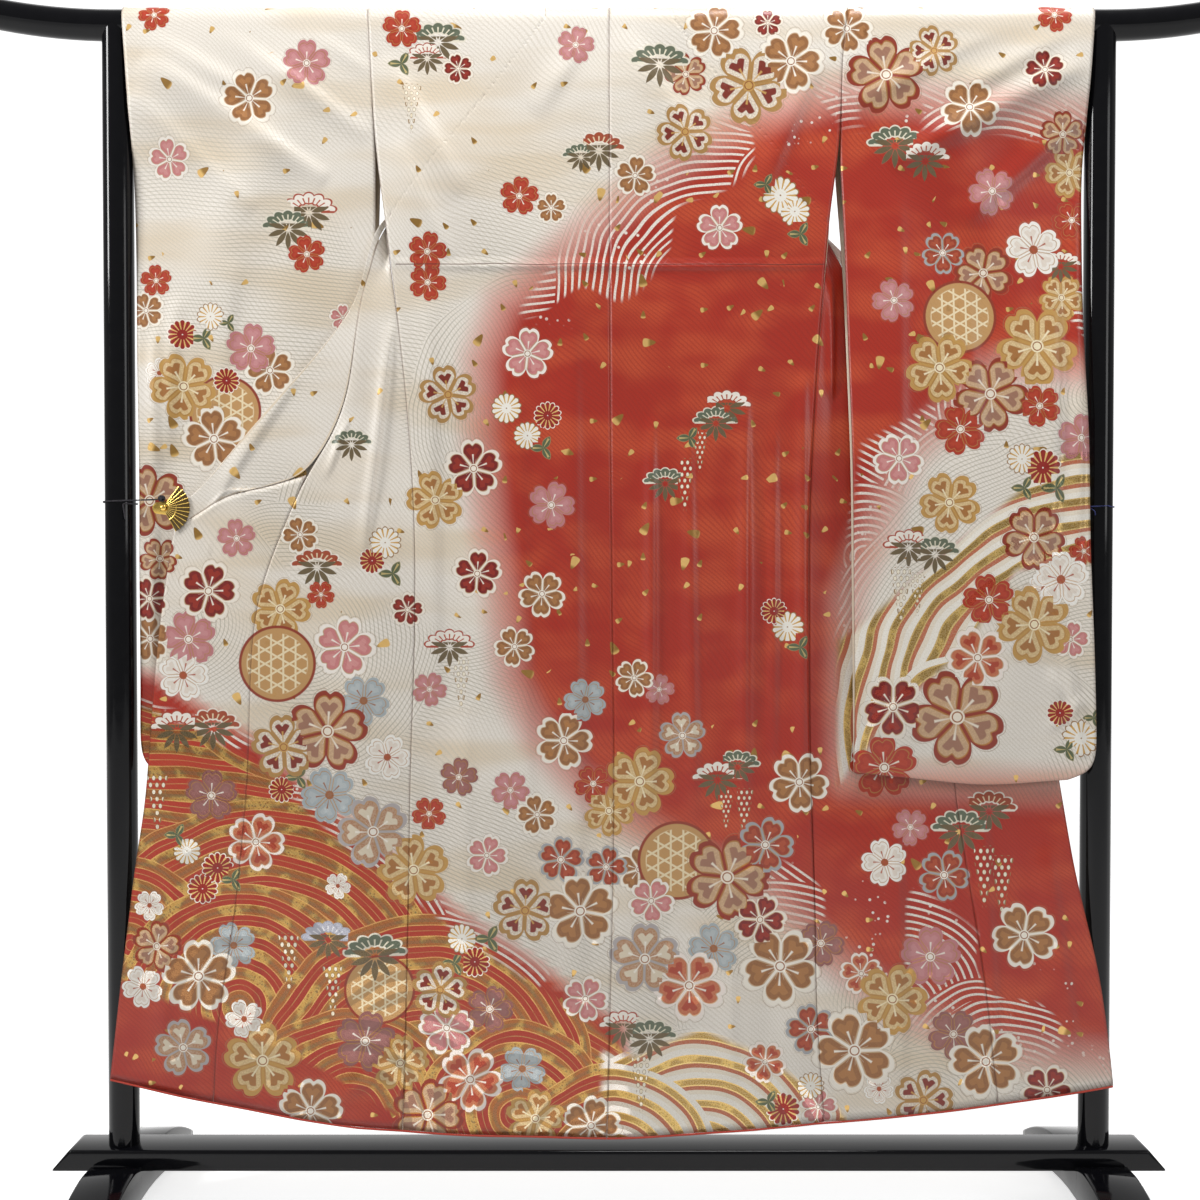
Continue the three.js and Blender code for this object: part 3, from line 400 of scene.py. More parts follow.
def subdivided(made, levels):
    """Replaces an object's mesh by its smooth subdivision."""
    smoother = made.modifiers.new("smooth", "SUBSURF")
    smoother.levels = smoother.render_levels = levels
    smoother.boundary_smooth = "PRESERVE_CORNERS"
    finer = worked_out(made)
    made.modifiers.clear()
    made.data = finer
    return made


def lined(made, finish=0):
    """Gives a cloth its thickness, inwards, with another finish on its inside."""
    wall = made.modifiers.new("thickness", "SOLIDIFY")
    wall.thickness = SILK_THICKNESS
    wall.offset = -1
    wall.material_offset = finish


def points(mesh):
    """A mesh's vertices, one to a row."""
    co = np.empty(len(mesh.vertices) * 3)
    mesh.vertices.foreach_get("co", co)
    return co.reshape(-1, 3)


def dye(red, green, blue):
    """A colour as a dyer's swatch shows it, from 0 to 255, as the light it throws back."""
    return tuple((c / 255 / 12.92 if c < 11 else ((c / 255 + 0.055) / 1.055) ** 2.4)
                 for c in (red, green, blue))


# The blossoms, by dye: how the outline, the petals, their hearts and the middle are painted.
BLOSSOM_DYES = {
    "bronze": ((240, 232, 218), (142, 94, 54), (168, 116, 68), (242, 234, 220)),
    "rust": ((172, 54, 30), (166, 48, 26), (178, 60, 34), (242, 232, 216)),
    "crimson": ((238, 228, 214), (112, 20, 18), (146, 42, 26), (242, 232, 216)),
    "mauve": ((188, 122, 124), (190, 124, 126), (198, 138, 138), (240, 230, 218)),
    "pink": ((240, 232, 222), (196, 120, 120), (206, 142, 138), (240, 232, 220)),
    "lace": ((170, 130, 74), (234, 224, 204), (122, 40, 24), (196, 152, 84)),
    "tan": ((140, 48, 26), (206, 172, 134), (156, 112, 90), (234, 222, 204)),
    "gold": ((190, 146, 78), (222, 196, 146), (164, 110, 56), (240, 226, 190)),
    "white": ((242, 238, 230), (240, 235, 226), (226, 214, 200), (168, 76, 44)),
    "plum": ((142, 90, 84), (148, 96, 90), (156, 104, 98), (236, 226, 212)),
    "dove": ((174, 166, 164), (170, 120, 84), (220, 206, 182), (240, 232, 218)),
    "dusk": ((164, 164, 166), (148, 54, 32), (172, 76, 46), (240, 232, 220)),
    "sky": ((166, 174, 176), (164, 173, 176), (180, 186, 186), (150, 100, 70)),
    "rose": ((240, 228, 218), (196, 118, 82), (168, 66, 42), (240, 230, 216)),
}
# The sprigs between them: fill, outline and the lines drawn on the fill.
SPRIG_DYES = {
    "pine": ((96, 104, 84), (226, 218, 200), (222, 214, 190)),
    "pinewhite": ((238, 230, 218), (166, 66, 42), (176, 84, 56)),
    "pinerust": ((160, 72, 42), (236, 226, 212), (228, 206, 170)),
    "pinegrey": ((178, 178, 188), (164, 166, 176), (222, 220, 222)),
    "daisy": ((240, 235, 224), (150, 112, 68), (206, 160, 84)),
    "reddaisy": ((146, 34, 24), (240, 230, 216), (222, 180, 110)),
    "leaf": ((88, 96, 68), (142, 134, 92), (190, 170, 112)),
    "wisteria": ((240, 232, 212), (150, 118, 76), (206, 176, 118)),
    "roundel": ((190, 146, 92), (140, 52, 30), (232, 214, 176)),
}
# Where they lie on the spread kimono, in centimetres: across from the middle of the back,
# up from the floor, and half their width.
BLOSSOMS = {
    "rust": [(-62.8, 166.6, 2.3), (-41.9, 133.8, 2.7), (-63.2, 130.4, 2.3), (-28.6, 164.7, 2.8),
        (-12.4, 141.7, 2.8), (-25.1, 134, 2.8), (-25.1, 129.8, 2.7), (61.5, 166.6, 2.5),
        (-40, 86.6, 2), (-25.1, 56, 2.5), (59.3, 112.6, 3), (48.4, 109.4, 3.7),
        (52.3, 85.9, 3.7), (38.2, 62.6, 4.7)],
    "mauve": [(-41.7, 159.9, 3.4), (-49.9, 120.9, 3.6), (-4.6, 162.4, 2.7), (-8, 99, 3.4),
        (-25, 73.4, 2.5), (-13.7, 59.4, 2.8), (42.1, 54.1, 2.7), (53, 142.4, 3.4),
        (39.3, 127.2, 3.1)],
    "bronze": [(-49.7, 155.2, 4.1), (-55.1, 108.3, 4.7), (-8, 140, 2.3), (3.6, 144.5, 3),
        (14.5, 164.4, 4.2), (25.1, 160.2, 4.7), (32.8, 164.7, 3.7), (49.7, 153.8, 4.2),
        (-9.3, 86.7, 3.4), (-13.1, 79.4, 3), (-42.8, 94.9, 2.8), (-10, 56, 3.1),
        (-4, 42.5, 5.5), (-57.1, 33.5, 5.3), (-41.6, 14.6, 4.7), (-2.5, 12.3, 4.4),
        (-6.3, 66.3, 4.2), (3.5, 75, 2.8), (26.5, 60.5, 4.4), (23.9, 34.7, 5.8),
        (57.9, 39.1, 4.8), (34.3, 22.9, 6.1), (52.7, 21.3, 5.5)],
    "pink": [(-61.1, 147.1, 3.1), (15.3, 137.3, 3.3), (-11.3, 120, 3.7), (-36.7, 79.3, 4.5),
        (-17, 50.3, 3.1), (-3.3, 30.1, 3.4), (5.9, 43.9, 3.4), (39.8, 105.3, 3.7)],
    "gold": [(-59.3, 115.6, 4.8), (64.2, 145.4, 3.7), (-24.1, 99.7, 4.2), (-27.3, 48.1, 5.2),
        (-48.3, 21.6, 5.6), (-29.2, 21, 4.2), (-10.3, 13.2, 4.4), (4.3, 60.6, 5),
        (39.5, 30.2, 5.2), (45.6, 117.9, 5), (59.1, 120.9, 5.8), (46.9, 99.3, 4.4),
        (58.7, 82.5, 5.6)],
    "tan": [(-64.2, 99.7, 5.2), (38.2, 158.3, 5.6), (62.9, 150.4, 3.3), (-39.1, 67.6, 5.9),
        (-62.9, 37.7, 3.7), (-25.4, 13.7, 5.3), (16.5, 47.2, 6.2), (52.6, 114.3, 5.5),
        (58.6, 94.5, 4.7), (48.1, 69.7, 6.9)],
    "crimson": [(-64.2, 86, 3.4), (-20.8, 159.2, 2.3), (60.1, 159, 3.1), (-18.8, 104.1, 4.2),
        (-18.3, 89.5, 3.6), (-28, 84.5, 2.5), (-55.5, 87.1, 4.4), (21.1, 41.2, 3.9),
        (61.2, 17.4, 3.9), (39.2, 71.1, 4.7)],
    "lace": [(19.3, 156.9, 5.6), (10.5, 150.4, 4.1), (44.8, 161.6, 3.7), (-22.3, 114.3, 4.2),
        (-45.2, 65.4, 4.7), (-11.7, 42.5, 4.7), (-23.6, 31.3, 4.2), (43.9, 16, 4.4)],
    "white": [(-30.8, 64, 3.3), (-37.7, 46.1, 1.9), (-64, 43.3, 2.2), (-64.9, 32, 3.1),
        (-50.8, 27.5, 2.8), (38.4, 49.3, 3.4), (59, 134.5, 4.1), (62.5, 88.7, 4.1)],
    "plum": [(-55.2, 58.7, 3.7), (-20.9, 61.2, 2.8), (-34, 24.3, 4.4)],
    "rose": [(-49.1, 52.2, 4.2), (-19.4, 18.8, 4.8), (11.2, 32, 5.2), (21.8, 21.3, 3.1),
        (50.9, 77.9, 4.4)],
    "dove": [(-32.8, 53.6, 5.2), (-59.3, 23.5, 4.2), (10.2, 67, 3.4), (5, 35.8, 5.2)],
    "dusk": [(-6.7, 49.7, 3.4), (-0.4, 48.6, 3.1), (21.8, 51.7, 4.1), (46.7, 47.5, 3.7),
        (46.3, 134, 3.1)],
    "sky": [(-12.1, 20.3, 3.4), (-3.3, 72, 3.1)],
}
BLOSSOMS_BEHIND = {
    "bronze": [(-64.6, 126.2, 2.8), (-47.2, 117.8, 3.7), (-64.2, 80.4, 3.7), (4.2, 48.3, 3.4)],
    "white": [(-62.5, 117.4, 2.2), (-59.1, 75.4, 3.7), (20.9, 20.4, 1.6), (60, 87.4, 2.5),
        (37.7, 17.6, 2.2)],
    "tan": [(-62.8, 91.6, 3.1), (51.9, 131.2, 4.2), (10.6, 158.5, 3.1)],
    "mauve": [(-58.3, 80.4, 4.1), (-51.6, 94.4, 2.8), (44.8, 36.1, 4.4), (65, 108.2, 3.4),
        (7, 73.4, 2.2)],
    "gold": [(-45.6, 84.6, 4.4), (0, 56.4, 3.7), (62.8, 127.8, 3.4)],
    "sky": [(-34, 71.9, 3.7), (-38.9, 58.7, 4.1), (-52.3, 37.7, 3.4), (14.6, 37.2, 3.7)],
    "pink": [(-22.7, 26, 4.1), (-37, 125.1, 2), (29.3, 14.9, 2.8), (63.9, 80.4, 2.8)],
    "plum": [(-16.6, 28.8, 3.4), (29.6, 37.9, 3.4), (48.1, 25.2, 3.7)],
    "rust": [(-2.2, 60.2, 2.8), (64.4, 138.7, 2.8), (65.7, 92.6, 2.2)],
    "dusk": [(28.2, 25.9, 3.7)],
    "rose": [(35.2, 33.7, 3.1)],
    "crimson": [(21.9, 165.5, 2.2)],
}
SPRIGS = {
    "pine": [(-44.5, 138.5, 3.9), (-23.6, 164.1, 4.1), (-3.9, 147.9, 2.8), (14.8, 111.4, 3.4),
        (7.8, 103, 3.3), (39.5, 149.9, 4.1), (7, 161.1, 4.4), (17.9, 63.7, 3.4),
        (49.1, 55, 4.4), (-32.6, 37.7, 4.7), (5.7, 25.7, 4.1), (44.9, 93.3, 3.7),
        (-35.6, 108.3, 3.1)],
    "pinewhite": [(-41.6, 140.8, 4.1), (-25.1, 161.6, 3.1), (16.3, 113.6, 3.7),
        (-22.2, 80.4, 3.7), (43.7, 147.7, 3.7), (15.1, 62, 3.9), (2, 27.1, 3.7), (-60, 69, 4.1),
        (41.2, 94.2, 3.7), (62.8, 133.2, 3.1)],
    "pinerust": [(-1.4, 149.1, 3.9), (-40.5, 91.6, 3.9), (53, 57.7, 4.2), (-55, 69.3, 4.1)],
    "pinegrey": [(-39.1, 39.7, 3.9)],
    "daisy": [(-55.5, 125.3, 2), (-14.2, 112.4, 2.2), (-11.3, 108.6, 2), (23.7, 141.8, 2.7),
        (25.7, 139.6, 2.2), (-31, 93.8, 2.3), (-58.6, 51, 2), (-20.5, 38.6, 2.2),
        (24.8, 82.1, 2.3), (65.4, 66.7, 2.7), (28.2, 17.9, 2), (56.9, 105.3, 2.2)],
    "reddaisy": [(-59.4, 122.8, 2.2), (-53.3, 116.4, 1.9), (-8.5, 111.4, 2), (-32.8, 91.3, 1.9),
        (-54.4, 48.6, 2.3), (-56.5, 45.7, 2.2), (-18.7, 35.4, 2.2), (-45.5, 59.5, 1.9),
        (22.9, 84.3, 1.9), (62.5, 70.2, 1.9), (24.4, 14.6, 2.5), (59.8, 104.1, 2.7)],
    "leaf": [(-60.3, 117.8, 1.9), (-56.5, 122.3, 1.9), (-53, 124.4, 1.4), (-9.1, 106.9, 1.9),
        (21.6, 143.2, 1.7), (26.5, 136.5, 1.9), (-30, 89.5, 2), (-60, 53.2, 1.9),
        (-52.3, 46.9, 1.9), (-16.7, 38.6, 2.2), (-21.6, 35.1, 1.9), (26.5, 79.3, 1.9),
        (63.5, 65.1, 1.9), (67.2, 69.5, 1.6), (22.3, 15.6, 1.9), (61.7, 101.3, 2.3),
        (57.2, 101.3, 1.9), (-43.2, 61.2, 1.9), (-28.7, 159.9, 1.9), (11.2, 108.3, 1.9)],
    "wisteria": [(-27.2, 156.9, 2.2), (10.5, 105.3, 2.3), (12.6, 109.4, 1.9),
        (-20.6, 77.6, 2.3), (18.8, 59.5, 2.2), (16.3, 59.5, 1.9), (52.2, 51.4, 2.7),
        (54.8, 50, 2.7), (-62.8, 61.6, 2.7), (-44.6, 39.3, 2.7), (-38.5, 34.9, 2.5),
        (4.5, 22.1, 2.5), (40.2, 90.2, 2.5), (42.5, 89.5, 1.9)],
}
ROUNDELS = {
    "roundel": [(-53.5, 112, 5.2), (-46, 77, 5.4), (9.5, 49.5, 5.6), (-32, 31.5, 5),
        (48.5, 125, 5.2)],
}
# Areas of colour, as outlines in centimetres, and how far their edges are shaded off.
RED_GROUND = [
    (2, 141), (8, 146), (18, 152), (32, 156), (54, 154), (80, 152), (80, 117), (54, 118),
    (47, 111), (41, 106), (36, 94), (33, 86), (33, 61), (80, 59), (80, 21), (54, 23), (40, 29),
    (31, 36), (21, 46), (11, 50), (-1, 57), (-5, 61), (-10, 67), (-14, 75), (-15, 86),
    (-17, 97), (-18, 108), (-18, 119), (-15, 127), (-9, 132), (-3, 137),
]
RED_HEM = [
    (-80, 79), (-63, 75), (-50, 67), (-36, 55), (-22, 43), (-10, 35), (2, 26), (5, 0), (-80, 0),
]
LEFT_BANK = [
    (-80, 75), (-62, 70), (-50, 64), (-36, 51), (-22, 40), (-10, 32), (2, 23), (4, 5),
    (-27, 12), (-39, 20), (-50, 25), (-61, 30), (-80, 38),
]
MIDDLE_BANK = [(-1, 23), (4, 22), (13, 26), (22, 22), (32, 15), (39, 5), (-1, 0)]
SLEEVE_BANK = [
    (80, 118), (60, 104), (52, 97), (40, 87), (32, 80), (32, 60), (40, 71), (49, 79), (56, 90),
    (80, 92),
]
FOAM = [
    [(4, 47), (24, 49), (40, 48), (54, 37), (80, 28), (80, 18), (54, 21), (40, 27), (27, 34),
     (4, 35)],
    [(-7, 133), (-1, 143), (7, 149), (18, 155), (32, 159), (54, 158), (80, 157), (80, 146),
     (54, 151), (33, 151), (20, 146), (11, 138), (4, 129), (-4, 124), (-13, 125)],
    [(80, 138), (56, 124), (49, 115), (35, 107), (32, 80), (45, 89), (54, 100), (80, 113)],
    [(-80, 76), (-50, 67), (-36, 58), (-21, 46), (-7, 36), (-10, 30), (-27, 40), (-39, 48),
     (-54, 59), (-80, 66)],
]


def lay(co):
    """Where points lie on the spread cloth: across, and up with the bend over the rail unrolled."""
    over = np.clip((co[:, 2] - RAIL_HEIGHT) / RAIL_WRAP, 0, 1)
    return co[:, 0], np.minimum(co[:, 2], RAIL_HEIGHT) + RAIL_WRAP * np.arcsin(over)


def from_line(x, s, x0, s0, dx, ds):
    """How far along a line, from its start and its reach, each point lies and how far off it."""
    along = ((x - x0) * dx + (s - s0) * ds) / np.maximum(dx * dx + ds * ds, 1e-12)
    along = np.clip(along, 0, 1)
    return along, x - x0 - along * dx, s - s0 - along * ds


FAR_OFF = 9.0


def shaded(outline, x, s, edge):
    """How much of a place lies in an outline whose edge is shaded off over a width."""
    nearest = np.full(x.shape, FAR_OFF)
    within = np.zeros(x.shape, bool)
    corners = np.array(outline) / 100
    for (x0, s0), (x1, s1) in zip(corners, np.roll(corners, -1, axis=0)):
        nearest = np.minimum(nearest, np.hypot(*from_line(x, s, x0, s0, x1 - x0, s1 - s0)[1:]))
        level = (s0 > s) != (s1 > s)
        within ^= level & (x < x0 + (s - s0) * (x1 - x0) / (s1 - s0 or 1))
    amount = np.clip(0.5 + np.where(within, nearest, -nearest) / (2 * edge), 0, 1)
    return amount * amount * (3 - 2 * amount)


# The soft folds of the hanging cloth, in centimetres: from, to, and width, and how far they
# stand out in millimetres. Each falls away more steeply on its right.
FOLDS = [
    (-66, 166, -50, 156, 2.0, 4), (-64, 161, -39, 144, 2.2, 5), (-55, 166, -33, 150, 1.7, 3.5),
    (-66, 156, -49, 140, 2.2, 3), (-43, 166, -33, 159, 1.4, 2.5), (66, 166, 49, 156, 2.0, 4),
    (66, 160, 39, 146, 2.2, 5), (66, 153, 49, 138, 2.2, 3), (56, 166, 34, 154, 1.7, 3),
    (-63, 124, -64, 73, 1.3, 4), (-60, 128, -62, 104, 1.7, 3), (-52, 133, -55, 111, 2.5, 2.5),
    (65, 142, 65, 92, 1.1, 4), (62, 131, 61, 92, 1.7, 3), (40, 142, 40, 72, 2.2, 2),
    (49, 135, 52, 83, 2.8, 2.5), (61, 76, 63, 72, 0.7, 2.5), (63, 80, 66, 64, 0.8, 3),
    (61, 68, 66, 72, 0.7, 2), (-31, 161, -20, 142, 2.5, 3), (-29, 149, -22, 133, 1.7, 2),
    (-1, 167, -10, 153, 2.2, 2.5), (1, 167, 13, 147, 2.8, 3), (29, 161, 21, 142, 2.2, 3),
    (6, 111, 6, 58, 1.1, 4), (11, 114, 12, 55, 1.3, 3), (19, 114, 19, 58, 1.1, 4),
    (23, 110, 23, 64, 1.0, 3), (27, 117, 27, 61, 1.1, 4), (31, 131, 31, 114, 0.8, 4),
    (-25, 128, -24, 72, 2.0, 3), (-13, 128, -11, 44, 2.5, 2.5), (-5, 131, -4, 30, 2.0, 2.5),
    (-20, 72, -20, 19, 2.2, 2.5), (-38, 16, -26, 25, 1.4, 3), (-49, 44, -50, 19, 1.7, 3),
    (-60, 51, -62, 25, 2.0, 3), (17, 51, 17, 16, 2.0, 2.5), (40, 55, 41, 19, 1.7, 3),
    (52, 58, 54, 23, 1.3, 3), (61, 51, 65, 22, 1.7, 3), (-30, 124, -34, 92, 1.1, 4),
    (-43, 117, -55, 99, 1.4, 2.5), (-57, 97, -53, 101, 0.4, 1.5),
    (-53, 101, -48, 101, 0.4, 1.2), (-57, 96, -55, 92, 0.4, 1.5), (-39, 103, -36, 111, 0.8, 2),
    (-29, 132, 31, 132, 0.4, 1.6),
]
# The clip and the rail hold the cloth flat, and the folds grow with the distance from them.
CLIP_PLACE = (-0.600, 0.985)
CLIP_HOLD, CLIP_REACH = 0.02, 0.06
RAIL_HOLD, RAIL_REACH = 0.012, 0.07
FOLD_GROWTH = 1.7
SWELL = 0.0016
BUMP_HEIGHT, BUMP_FROM, BUMP_REACH = 0.0012, 0.004, 0.012


def hang(made):
    """Lays the folds into a cloth. All layers take them alike, so that none meets another."""
    co = points(made.data)
    x, s = lay(co)
    out = SWELL * np.sin(x * 23 + s * 9) * np.sin(s * 13 - x * 7)
    for x0, s0, x1, s1, width, depth in FOLDS:
        line = (x0 / 100, s0 / 100, (x1 - x0) / 100, (s1 - s0) / 100)
        along, off_x, off_s = from_line(x, s, *line)
        side = np.where(off_x > 0, 0.5, 1.0)
        fading = np.sqrt(4 * along * (1 - along))
        off = (off_x ** 2 + off_s ** 2) / (width / 100 * side) ** 2
        out += depth / 1000 * fading * np.exp(-off)
    clear = np.hypot(x - CLIP_PLACE[0], s - CLIP_PLACE[1])
    by_clip = np.clip((clear - CLIP_HOLD) / CLIP_REACH, 0, 1)
    by_rail = np.clip((RAIL_HEIGHT - RAIL_HOLD - co[:, 2]) / RAIL_REACH, 0, 1)
    co[:, 1] -= FOLD_GROWTH * out * by_clip * by_rail
    on_top = np.clip((co[:, 2] - RAIL_HEIGHT - BUMP_FROM) / BUMP_REACH, 0, 1)
    co[:, 2] += BUMP_HEIGHT * on_top * (1 + np.sin(x * 71) * np.sin(x * 26 + 1))
    made.data.vertices.foreach_set("co", co.ravel())
    made.data.update()


# How many half widths a motif reaches, and the turn from one blossom to the next.
MOTIF_REACH, MOTIF_TURN = 1.6, 2.4


def mark(mesh, name, domain, values):
    """Writes rows of three values on the points or the corners of a mesh."""
    layer = mesh.attributes.new(name, "FLOAT_VECTOR", domain)
    layer.data.foreach_set("vector", values.astype(np.float32).ravel())


def chart(mesh, plain, name, motifs, kinds, drop=False):
    """Gives each square of a cloth the place of the nearest motif: how far across and up from
    its middle, in its own half widths, and its kind."""
    corners = np.empty(len(mesh.loops), np.int32)
    mesh.loops.foreach_get("vertex_index", corners)
    x, s = lay(points(mesh))
    x, s = x[corners].reshape(-1, 4), s[corners].reshape(-1, 4)
    rows = [(a, b, r, list(kinds).index(kind)) for kind in motifs for a, b, r in motifs[kind]]
    across, up, half, kind = (np.array(column) for column in zip(*rows))
    across, up, half = across / 100, up / 100, half / 100
    from_x = (x.mean(1)[:, None] - across) / half
    from_s = (s.mean(1)[:, None] - up) / half
    hangs = kind == list(kinds).index("wisteria") if drop else np.zeros(len(kind), bool)
    away = np.where(hangs, np.hypot(from_x / 0.6, (from_s + 1.5) / 1.9), np.hypot(from_x, from_s))
    nearest = away.argmin(1)
    near = (away.min(1) < MOTIF_REACH) & (not plain)
    turn = np.zeros(len(kind)) if drop else MOTIF_TURN * np.arange(len(kind))
    u = (x - across[nearest, None]) / half[nearest, None]
    v = (s - up[nearest, None]) / half[nearest, None]
    cos, sin = np.cos(turn)[nearest, None], np.sin(turn)[nearest, None]
    place = np.stack(
        [u * cos + v * sin, v * cos - u * sin, np.broadcast_to(kind[nearest, None], u.shape)], -1
    )
    place[~near] = (FAR_OFF, FAR_OFF, 0)
    mark(mesh, name, "CORNER", place)


def from_edge(mesh, x, s):
    """How far each point of a cloth lies from the nearest edge of its piece."""
    bm = bmesh.new()
    bm.from_mesh(mesh)
    ends = np.array([[v.index for v in e.verts] for e in bm.edges if e.is_boundary])
    bm.free()
    nearest = np.full(len(x), FAR_OFF)
    if not len(ends):
        return nearest
    edges_at = {}
    for number, pair in enumerate(ends):
        for v in pair:
            edges_at.setdefault(int(v), []).append(number)
    found = KDTree(len(edges_at))
    for v in edges_at:
        found.insert((x[v], s[v], 0), v)
    found.balance()
    close = [edges_at[found.find((a, b, 0))[1]] for a, b in zip(x, s)]
    for which in (0, -1):
        a, b = ends[[numbers[which] for numbers in close]].T
        off = from_line(x, s, x[a], s[a], x[b] - x[a], s[b] - s[a])[1:]
        nearest = np.minimum(nearest, np.hypot(*off))
    return nearest


def paint(mesh, plain):
    """Marks a cloth with its lay, its areas of colour and its motifs. A plain one has only
    the woven ripples."""
    x, s = lay(points(mesh))

    def area(outlines, edge):
        return (not plain) * np.max([shaded(outline, x, s, edge) for outline in outlines], axis=0)

    red = np.maximum(area([RED_GROUND], 0.045), area([RED_HEM], 0.012))
    nothing = np.zeros(len(x))
    for name, columns in {
        "lay": (x, s, nothing),
        "grounds": (red, area(FOAM, 0.035), from_edge(mesh, x, s)),
        "banks": (area([LEFT_BANK], 0.012), area([MIDDLE_BANK, SLEEVE_BANK], 0.016), nothing),
    }.items():
        mark(mesh, name, "POINT", np.stack(columns, -1))
    chart(mesh, plain, "blossom", BLOSSOMS, BLOSSOM_DYES)
    chart(mesh, plain, "blossom_behind", BLOSSOMS_BEHIND, BLOSSOM_DYES)
    chart(mesh, plain, "sprig", SPRIGS, SPRIG_DYES, drop=True)
    chart(mesh, plain, "roundel", ROUNDELS, SPRIG_DYES, drop=True)


painted_silk, silk_shader, place = new_finish("painted_silk", Sheen_Weight=0.04)
KINDS = 16
GOLD_LINE = dye(176, 128, 66)
WHITE_PAINT = dye(240, 232, 220)


def marked(name):
    return place.node("ShaderNodeAttribute", {"attribute_name": name}, {}, 1)


def drawn(value, dyes, part):
    """The colour of one part of a motif, by its kind."""
    stops = [(i / KINDS, dye(*parts[part])) for i, parts in enumerate(dyes.values())]
    return ((value + 0.5) / KINDS).ramp(stops)


def polar(u, v):
    """Distance from the middle, and the turn about it."""
    return (u * u + v * v).math("SQRT"), v.math("ARCTAN2", u)


def either(one, other):
    return one.math("MAXIMUM", other)


def both(one, other):
    return one.math("MINIMUM", other)


def rays(turn, count, start):
    """How far a place is turned from the nearest of some even rays: 0 on one, 1 between two."""
    return (turn * (count / (2 * math.pi)) + start).swing() * 2


def blossom(name, ground):
    """Paints five-petalled cherry blossoms over a ground: an outline of one colour, petals
    with a notch and a heart, a thin gold line round the petals, stamens and a middle."""
    u, v, kind = marked(name).split()
    out, turn = polar(u, v)
    part = rays(turn, 5, 10)
    notch = (part * part * -60).math("EXPONENT") * 0.09
    inside = 0.99 - notch - part.math("POWER", 3.4) * 0.4 - out
    valley = out * (1 - part) * 0.628
    petal = both(inside - 0.15, valley - 0.05)
    rim, fill, heart_fill, middle = (drawn(kind, BLOSSOM_DYES, i) for i in range(4))
    grain = marked("lay").cells(420.0)
    colour = (grain.ease(0.2, 0.7) * 0.28).blend(fill, heart_fill)
    heart = both(petal - 0.12, out - 0.34).ease(0.0, 0.03)
    colour = heart.blend(colour, heart_fill)
    colour = petal.ease(0.0, 0.02).blend(rim, colour)
    line = 1 - abs(petal).ease(0.008, 0.028)
    colour = (line * 0.7).blend(colour, GOLD_LINE)
    stamen = both(0.48 - out, (0.012 + out * 0.07 - part * out * 0.628) * 0.6)
    long_ones = either(stamen, both(0.34 - out, 0.012 - abs(part - 0.5) * out))
    colour = long_ones.ease(0.0, 0.02).blend(colour, middle)
    colour = (0.16 - out).ease(0.0, 0.02).blend(colour, middle)
    ring = abs(out - 0.1)
    colour = (0.018 - ring).ease(0.0, 0.01).blend(colour, dye(150, 92, 50))
    mask = inside.ease(0.0, 0.03)
    # A thin brown line just outside each blossom is painted shadow along its edge.
    shadow_hairline = (1 - abs(inside + 0.03).ease(0.004, 0.016)) * 0.5
    shadow_edged = shadow_hairline.blend(ground, dye(150, 120, 84))
    return mask.blend(shadow_edged, colour), mask * line


def sprig(name, ground):
    """Paints pine fans, small chrysanthemums, leaves, hanging wisteria and latticed roundels."""
    u, v, kind = marked(name).split()
    out, turn = polar(u, v)
    up = v + 0.32
    spread, fan_turn = polar(u, up / 0.72)
    lobe = (fan_turn * (7 / math.pi) + 10).swing()
    fan = both(both(1 - lobe * lobe * 0.55 - spread, up + 0.02), spread - 0.36 - lobe * 0.1)
    fan_line = 0.16 - (fan_turn * (11 / math.pi) + 10).swing()
    fan_line = both(both(fan_line, (spread - 0.3) * 0.8), (0.74 - spread) * 0.8)
    below, below_turn = polar(u, up)
    blade = (below_turn * (5 / math.pi) + 7).swing()
    needle = 0.15 - (below - 0.42) * (below - 0.42) * 1.3 - blade * below * 0.86
    foot = both(needle, 0.22 - up)

    ray = rays(turn, 14, 14)
    daisy = both(1 - ray * ray * 0.16 - out, 2 * out)
    daisy_line = both(0.34 - (1 - ray), out - 0.3)

    leaf_part = rays(turn, 3, 9)
    leaf = 1 - leaf_part * 0.85 - out
    leaf_line = both(0.12 - leaf_part, 0.8 - out)

    down = v * -1
    row = (down / 0.36).math("FRACT") - 0.5
    shift = (down / 0.72).math("FRACT").math("GREATER_THAN", 0.5) * 0.5
    cell = (u / 0.34 + shift).math("FRACT") - 0.5
    bead = 0.36 - (row * row * 0.8 + cell * cell * 1.4).math("SQRT")
    taper = 0.62 - down * 0.17 - abs(u)
    wisteria = both(both(bead, taper), both(down + 0.1, 3.2 - down))
    wisteria_line = 0.03 - abs(u)

    canes = []
    for angle in (0, 60, 120):
        slope = math.radians(angle)
        canes.append(0.1 - ((u * math.cos(slope) + v * math.sin(slope)) * 3.2).swing())
    lattice = either(either(canes[0], canes[1]), canes[2])
    roundel = 1.0 - out
    roundel_line = both(lattice, 0.8 - out)

    def chosen(parts):
        """Picks one of the shapes by kind."""
        value = parts[0]
        for limit, other in zip((3.5, 5.5, 6.5, 7.5), parts[1:]):
            later = kind > limit
            value = value + later * (other - value)
        return value

    body = chosen((fan, daisy, leaf, wisteria, roundel))
    lines = chosen((fan_line, daisy_line, leaf_line, wisteria_line, roundel_line))
    fill, rim, line_dye = (drawn(kind, SPRIG_DYES, i) for i in range(3))
    colour = lines.ease(0.0, 0.04).blend(fill, line_dye)
    colour = (0.1 - body).ease(0.0, 0.03).blend(colour, rim)
    fans = kind < 3.5
    mask = either(body, fans * foot + (fans - 1)).ease(0.0, 0.03)
    colour = both(fans, foot.ease(0.0, 0.02)).blend(colour, dye(104, 88, 60))
    return mask.blend(ground, colour)


